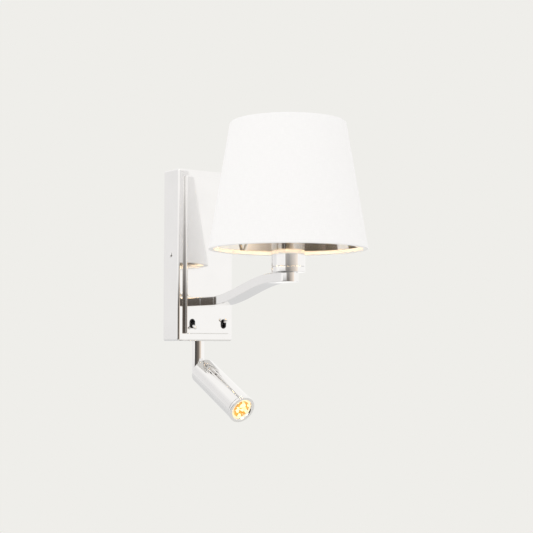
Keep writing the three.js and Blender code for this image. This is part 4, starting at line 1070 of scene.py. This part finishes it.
class WALL_LIGHT_OT_spot(bpy.types.Operator):
    """Spot head: tongue, can, bezel, lens, reflector and the lit chip"""

    bl_idname = "wall_light.spot"
    bl_label = "Spot head"

    def execute(self, context):
        sizes = context.scene.wall_light_sizes
        low, high = local_box("head_can", HEAD_FRAME)
        self.tongue(low.z)
        radius = high.x
        bore = radius - 2 * MM
        edge = 1.4 * MM
        hole = 3.2 * MM
        floor = low.z + 3 * MM
        can = turned([
            (hole, low.z), (radius, low.z, edge), (radius, high.z, 0.25 * MM), (bore, high.z), (bore, floor),
            (hole, floor)], sizes.facets)
        add_on_head("spot_can", can, "polished_nickel", "head_can")
        self.bezel(sizes, bore, high.z)
        self.optics(sizes)
        return {"FINISHED"}

    def tongue(self, rear):
        """The flat foot that turns in the stem's slot, with a round foot under the can."""
        low, high = local_box("tilt_tongue", HEAD_FRAME)
        half_sheet = 2.5 * MM
        half_width = 6 * MM
        outline = [(point.x, -point.y) for point in arc(half_width, 0, 0.5, 24)]
        outline += [(-half_width, rear - MM), (half_width, rear - MM)]
        rings = [[(across, y, z) for y, z in outline] for across in (-half_sheet, half_sheet)]
        plate = as_object("tilt_foot", loft(rings, capped=True))
        soften(plate, 0.4 * MM)
        blade = bmesh.new()
        blade.from_mesh(plate.data)
        bpy.data.objects.remove(plate)
        foot = 7 * MM
        spigot = 3 * MM
        seat = rear - SEAT
        sole = seat - 2 * MM
        disc = turned([(0, sole), (foot, sole, 0.5 * MM), (foot, seat, 0.1 * MM), (spigot, seat),
                       (spigot, high.z, 0.3 * MM), (0, high.z)], 64, closed=False)
        add_on_head("tilt_foot", joined(blade, disc), "polished_nickel", "tilt_tongue")

    def bezel(self, sizes, bore, can_front):
        """A ring screwed into the can, a little wider than it, with a groove behind."""
        low, high = local_box("spot_bezel", HEAD_FRAME)
        radius = high.x - 0.1 * MM
        opening = 12.9 * MM
        spigot = bore - SEAT
        back = can_front + SEAT
        groove = 0.7 * MM
        seat = high.z - 1.9 * MM
        ring = turned([
            (spigot - MM, low.z), (spigot, low.z, 0.1 * MM), (spigot, back), (radius - groove, back),
            (radius - groove, back + 0.5 * MM), (radius, back + 0.6 * MM, 0.3 * MM),
            (radius, high.z, 0.9 * MM), (opening + MM, high.z, 0.7 * MM), (opening, seat, 0.3 * MM),
            (spigot - MM, seat)], sizes.facets)
        add_on_head("spot_ring", ring, "polished_nickel", "spot_bezel")

    def optics(self, sizes):
        """Lens with rings moulded in its front, scalloped reflector and the chip."""
        low, high = local_box("spot_lens", HEAD_FRAME)
        outline = [(0, low.z), (high.x, low.z, 0.1 * MM), (high.x, high.z, 0.2 * MM)]
        rings = 4
        for index in range(rings, 0, -1):
            across = high.x * (index - 0.5) / rings
            outline.append((across, high.z - 0.25 * MM, 0.8 * MM))
            outline.append((across - 0.5 * high.x / rings, high.z, 0.8 * MM))
        lens = turned(outline, sizes.facets, closed=False)
        add_on_head("spot_front_lens", lens, "clear_glass", "spot_lens")
        low, high = local_box("spot_reflector", HEAD_FRAME)
        wall = 0.9 * MM
        mouth = high.x - wall
        throat = 5.6 * MM
        profile = []
        steps = 12
        for step in range(steps + 1):
            t = step / steps
            profile.append((throat + (mouth - throat) * t**0.6, low.z + (high.z - low.z) * t))
        outer = [(across + wall, height) for across, height in reversed(profile)]

        def ripple(angle):
            return 1 - 0.03 * abs(math.sin(9 * angle))

        cup = turned(profile + outer, 144, ripple=ripple)
        add_on_head("scalloped_reflector", cup, "gold_reflector", "spot_reflector")
        low, high = local_box("led_chip", HEAD_FRAME)
        chip = turned([(0, low.z), (high.x, low.z), (high.x, high.z, 0.3 * MM), (0, high.z + 0.2 * MM)], 64,
                      closed=False)
        add_on_head("lit_chip", chip, "led_phosphor", "led_chip")


# ---------------------------------------------------------------- pieces that keep their CAD shape


class WALL_LIGHT_OT_inner_parts(bpy.types.Operator):
    """Gives every CAD piece that keeps its shape its finish"""

    bl_idname = "wall_light.inner_parts"
    bl_label = "Inner parts"

    def execute(self, context):
        for part in frame["record"]["subparts"]:
            node = frame["nodes"][part["node"]]
            if node.hide_render:
                continue
            for slot in node.material_slots:
                slot.material = finish(part["material_slot"])
        return {"FINISHED"}


# ---------------------------------------------------------------- stage


class WALL_LIGHT_OT_stage(bpy.types.Operator):
    """Plain pale floor, soft studio light and the camera"""

    bl_idname = "wall_light.stage"
    bl_label = "Stage"

    VIEW_FROM = Vector((-0.8136, -1.2456, -0.1149))
    VIEW_ALONG = Vector((0.600, 0.797, 0.069))

    def execute(self, context):
        studio = context.scene.wall_light_studio
        context.scene.view_settings.view_transform = "Standard"
        self.camera(context, studio)
        self.room(context, studio)
        self.floor(studio)
        self.screens(studio)
        self.softbox("left_softbox", place=Vector((-2.6, -1.6, 1.6)), size=1.2, brightness=1.3)
        return {"FINISHED"}

    def camera(self, context, studio):
        data = bpy.data.cameras.new("camera")
        data.lens = studio.lens
        data.sensor_width = 36
        camera = bpy.data.objects.new("camera", data)
        camera.location = self.VIEW_FROM
        camera.rotation_euler = self.VIEW_ALONG.to_track_quat("-Z", "Y").to_euler()
        context.scene.collection.objects.link(camera)
        context.scene.camera = camera

    def room(self, context, studio):
        """Plain surroundings: one colour to the eye, one brightness of soft light."""
        world = bpy.data.worlds.new("room")
        world.use_nodes = True
        tree = world.node_tree
        seen = tree.nodes["Background"]
        seen.inputs["Color"].default_value = (*studio.backdrop, 1)
        light = tree.nodes.new("ShaderNodeBackground")
        light.inputs["Color"].default_value = (1.0, 0.99, 0.975, 1)
        light.inputs["Strength"].default_value = studio.brightness
        path = tree.nodes.new("ShaderNodeLightPath")
        mixed = tree.nodes.new("ShaderNodeMixShader")
        tree.links.new(path.outputs["Is Camera Ray"], mixed.inputs[0])
        tree.links.new(light.outputs[0], mixed.inputs[1])
        tree.links.new(seen.outputs[0], mixed.inputs[2])
        tree.links.new(mixed.outputs[0], tree.nodes["World Output"].inputs["Surface"])
        context.scene.world = world

    def floor(self, studio):
        """A wide pale floor."""
        mesh = bmesh.new()
        bmesh.ops.create_circle(mesh, cap_ends=True, segments=96, radius=studio.floor_radius)
        floor = as_object("floor", turn(mesh, Matrix.Translation((0, 0, -studio.floor_drop))))
        floor.data.materials.append(plastic("pale floor", (0.72, 0.72, 0.705), 0.9, grain=300, tone=0.985))

    def screens(self, studio):
        """Curved screens that only the polished metal sees. Each has tones as (degrees to the right of the
        camera, tone), the heights of its foot, of where it starts to fade and of its top, and a tint."""
        left = ((-57, 0.16), (-42, 0.055), (-22, 0.06), (-15, 0.24))
        self.screen(studio, "dim_left", left, (-1.3, 0.0, 0.10), (1.04, 0.96, 0.9))
        self.screen(studio, "dim_low_left", ((-82, 0.16), (-57, 0.06)), (-1.3, -0.25, -0.15),
                    (1.0, 0.86, 0.76))
        front = ((-15, 0.2), (-6, 0.13), (5, 0.10), (12, 0.17), (27, 0.4), (42, 0.58), (56, 0.84), (64, 1.0))
        self.screen(studio, "dim_front", front, (-1.3, 0.02, 0.36), (1.1, 0.95, 0.82))
        self.screen(studio, "grey_left", ((-170, 0.96), (-130, 0.92), (-95, 0.87), (-80, 0.98)),
                    (-1.3, 0.8, 1.6), (1.0, 0.99, 0.985))
        self.screen(studio, "grey_low_back", ((95, 0.84), (150, 0.74), (215, 0.70), (262, 0.84)),
                    (-1.8, -0.5, -0.3), (1.0, 1.0, 1.0))

    def screen(self, studio, name, tones, heights, tint):
        """An arc about the wall light, with (angle, tone) stops and a top that fades out."""
        foot, fade, top = heights
        start = tones[0][0]
        end = tones[-1][0]
        steps = 48
        rings = []
        for height in (foot, top):
            ring = []
            for step in range(steps + 1):
                angle = math.radians(start + (end - start) * step / steps)
                ahead = -self.VIEW_ALONG.xy.normalized()
                aside = Vector((-ahead.y, ahead.x))
                place = studio.distance * (ahead * math.cos(angle) + aside * math.sin(angle))
                ring.append((place.x, place.y, height))
            rings.append(ring)
        piece = as_object(name, loft(rings, closed_rings=False))
        length = studio.distance * math.radians(end - start)
        piece.data.materials.append(self.screen_finish(name, tones, length, fade - foot, top - foot, tint))
        piece.visible_camera = False
        piece.visible_shadow = False
        piece.visible_diffuse = False

    def screen_finish(self, name, tones, length, fade, top, tint):
        """Toned along its length, clear towards its top."""
        shader = Shader(name)
        tree = shader.tree
        place = shader.node("ShaderNodeSeparateXYZ", {"Vector": shader.place(map_name="UV")})
        share = shader.combine(place.outputs["X"], length, "DIVIDE")
        ramp = shader.node("ShaderNodeValToRGB", {"Fac": share})
        stops = ramp.color_ramp.elements
        start = tones[0][0]
        span = tones[-1][0] - start
        for index, (angle, tone) in enumerate(tones):
            position = (angle - start) / span
            stop = stops[index] if index < 2 else stops.new(position)  # a ramp starts with two stops
            stop.position = position
            stop.color = (*shade_of(tint, tone), 1)
        glow = shader.node("ShaderNodeEmission", {"Color": ramp.outputs["Color"], "Strength": 1.0})
        clear = shader.node("ShaderNodeBsdfTransparent", {"Color": (1, 1, 1)})
        fading = shader.spread(place.outputs["Y"], 0, 1, fade, top)
        both = shader.node("ShaderNodeMixShader", {0: fading, 1: glow.outputs[0], 2: clear.outputs[0]})
        output = tree.nodes["Material Output"]
        tree.nodes.remove(shader.surface)
        tree.links.new(both.outputs[0], output.inputs["Surface"])
        return shader.material

    def softbox(self, name, place, size, brightness):
        """A square soft light that faces the middle of the back plate."""
        data = bpy.data.lights.new(name, "AREA")
        data.size = size
        data.energy = brightness * math.pi * size * size
        light = bpy.data.objects.new(name, data)
        light.location = place
        light.rotation_euler = (-place).to_track_quat("-Z", "Y").to_euler()
        bpy.context.scene.collection.objects.link(light)


# ---------------------------------------------------------------- panel and registration

OPERATORS = (
    WALL_LIGHT_OT_stage,
    WALL_LIGHT_OT_cover,
    WALL_LIGHT_OT_arm,
    WALL_LIGHT_OT_lampholder,
    WALL_LIGHT_OT_bulb,
    WALL_LIGHT_OT_shade,
    WALL_LIGHT_OT_shade_frame,
    WALL_LIGHT_OT_switches,
    WALL_LIGHT_OT_stem,
    WALL_LIGHT_OT_spot,
    WALL_LIGHT_OT_inner_parts,
)


class WALL_LIGHT_PT_panel(bpy.types.Panel):
    """Lists the wall light's operators and settings"""

    bl_idname = "WALL_LIGHT_PT_panel"
    bl_label = "Wall light"
    bl_space_type = "VIEW_3D"
    bl_region_type = "UI"
    bl_category = "Wall light"

    def draw(self, context):
        layout = self.layout
        for group in ("wall_light_sizes", "wall_light_colours", "wall_light_studio"):
            settings = getattr(context.scene, group)
            box = layout.box()
            for name in settings.__annotations__:
                box.prop(settings, name)
        for operator in OPERATORS:
            layout.operator(operator.bl_idname)


GROUPS = {
    "wall_light_sizes": WallLightSizes,
    "wall_light_colours": WallLightColours,
    "wall_light_studio": WallLightStudio,
}


def register():
    for cls in (*GROUPS.values(), *OPERATORS, WALL_LIGHT_PT_panel):
        bpy.utils.register_class(cls)
    for name, cls in GROUPS.items():
        setattr(bpy.types.Scene, name, PointerProperty(type=cls))


def unregister():
    for name in GROUPS:
        delattr(bpy.types.Scene, name)
    for cls in reversed((*GROUPS.values(), *OPERATORS, WALL_LIGHT_PT_panel)):
        bpy.utils.unregister_class(cls)


def main():
    register()
    for operator in OPERATORS:
        group, name = operator.bl_idname.split(".")
        getattr(getattr(bpy.ops, group), name)()


if __name__ == "__main__":
    main()
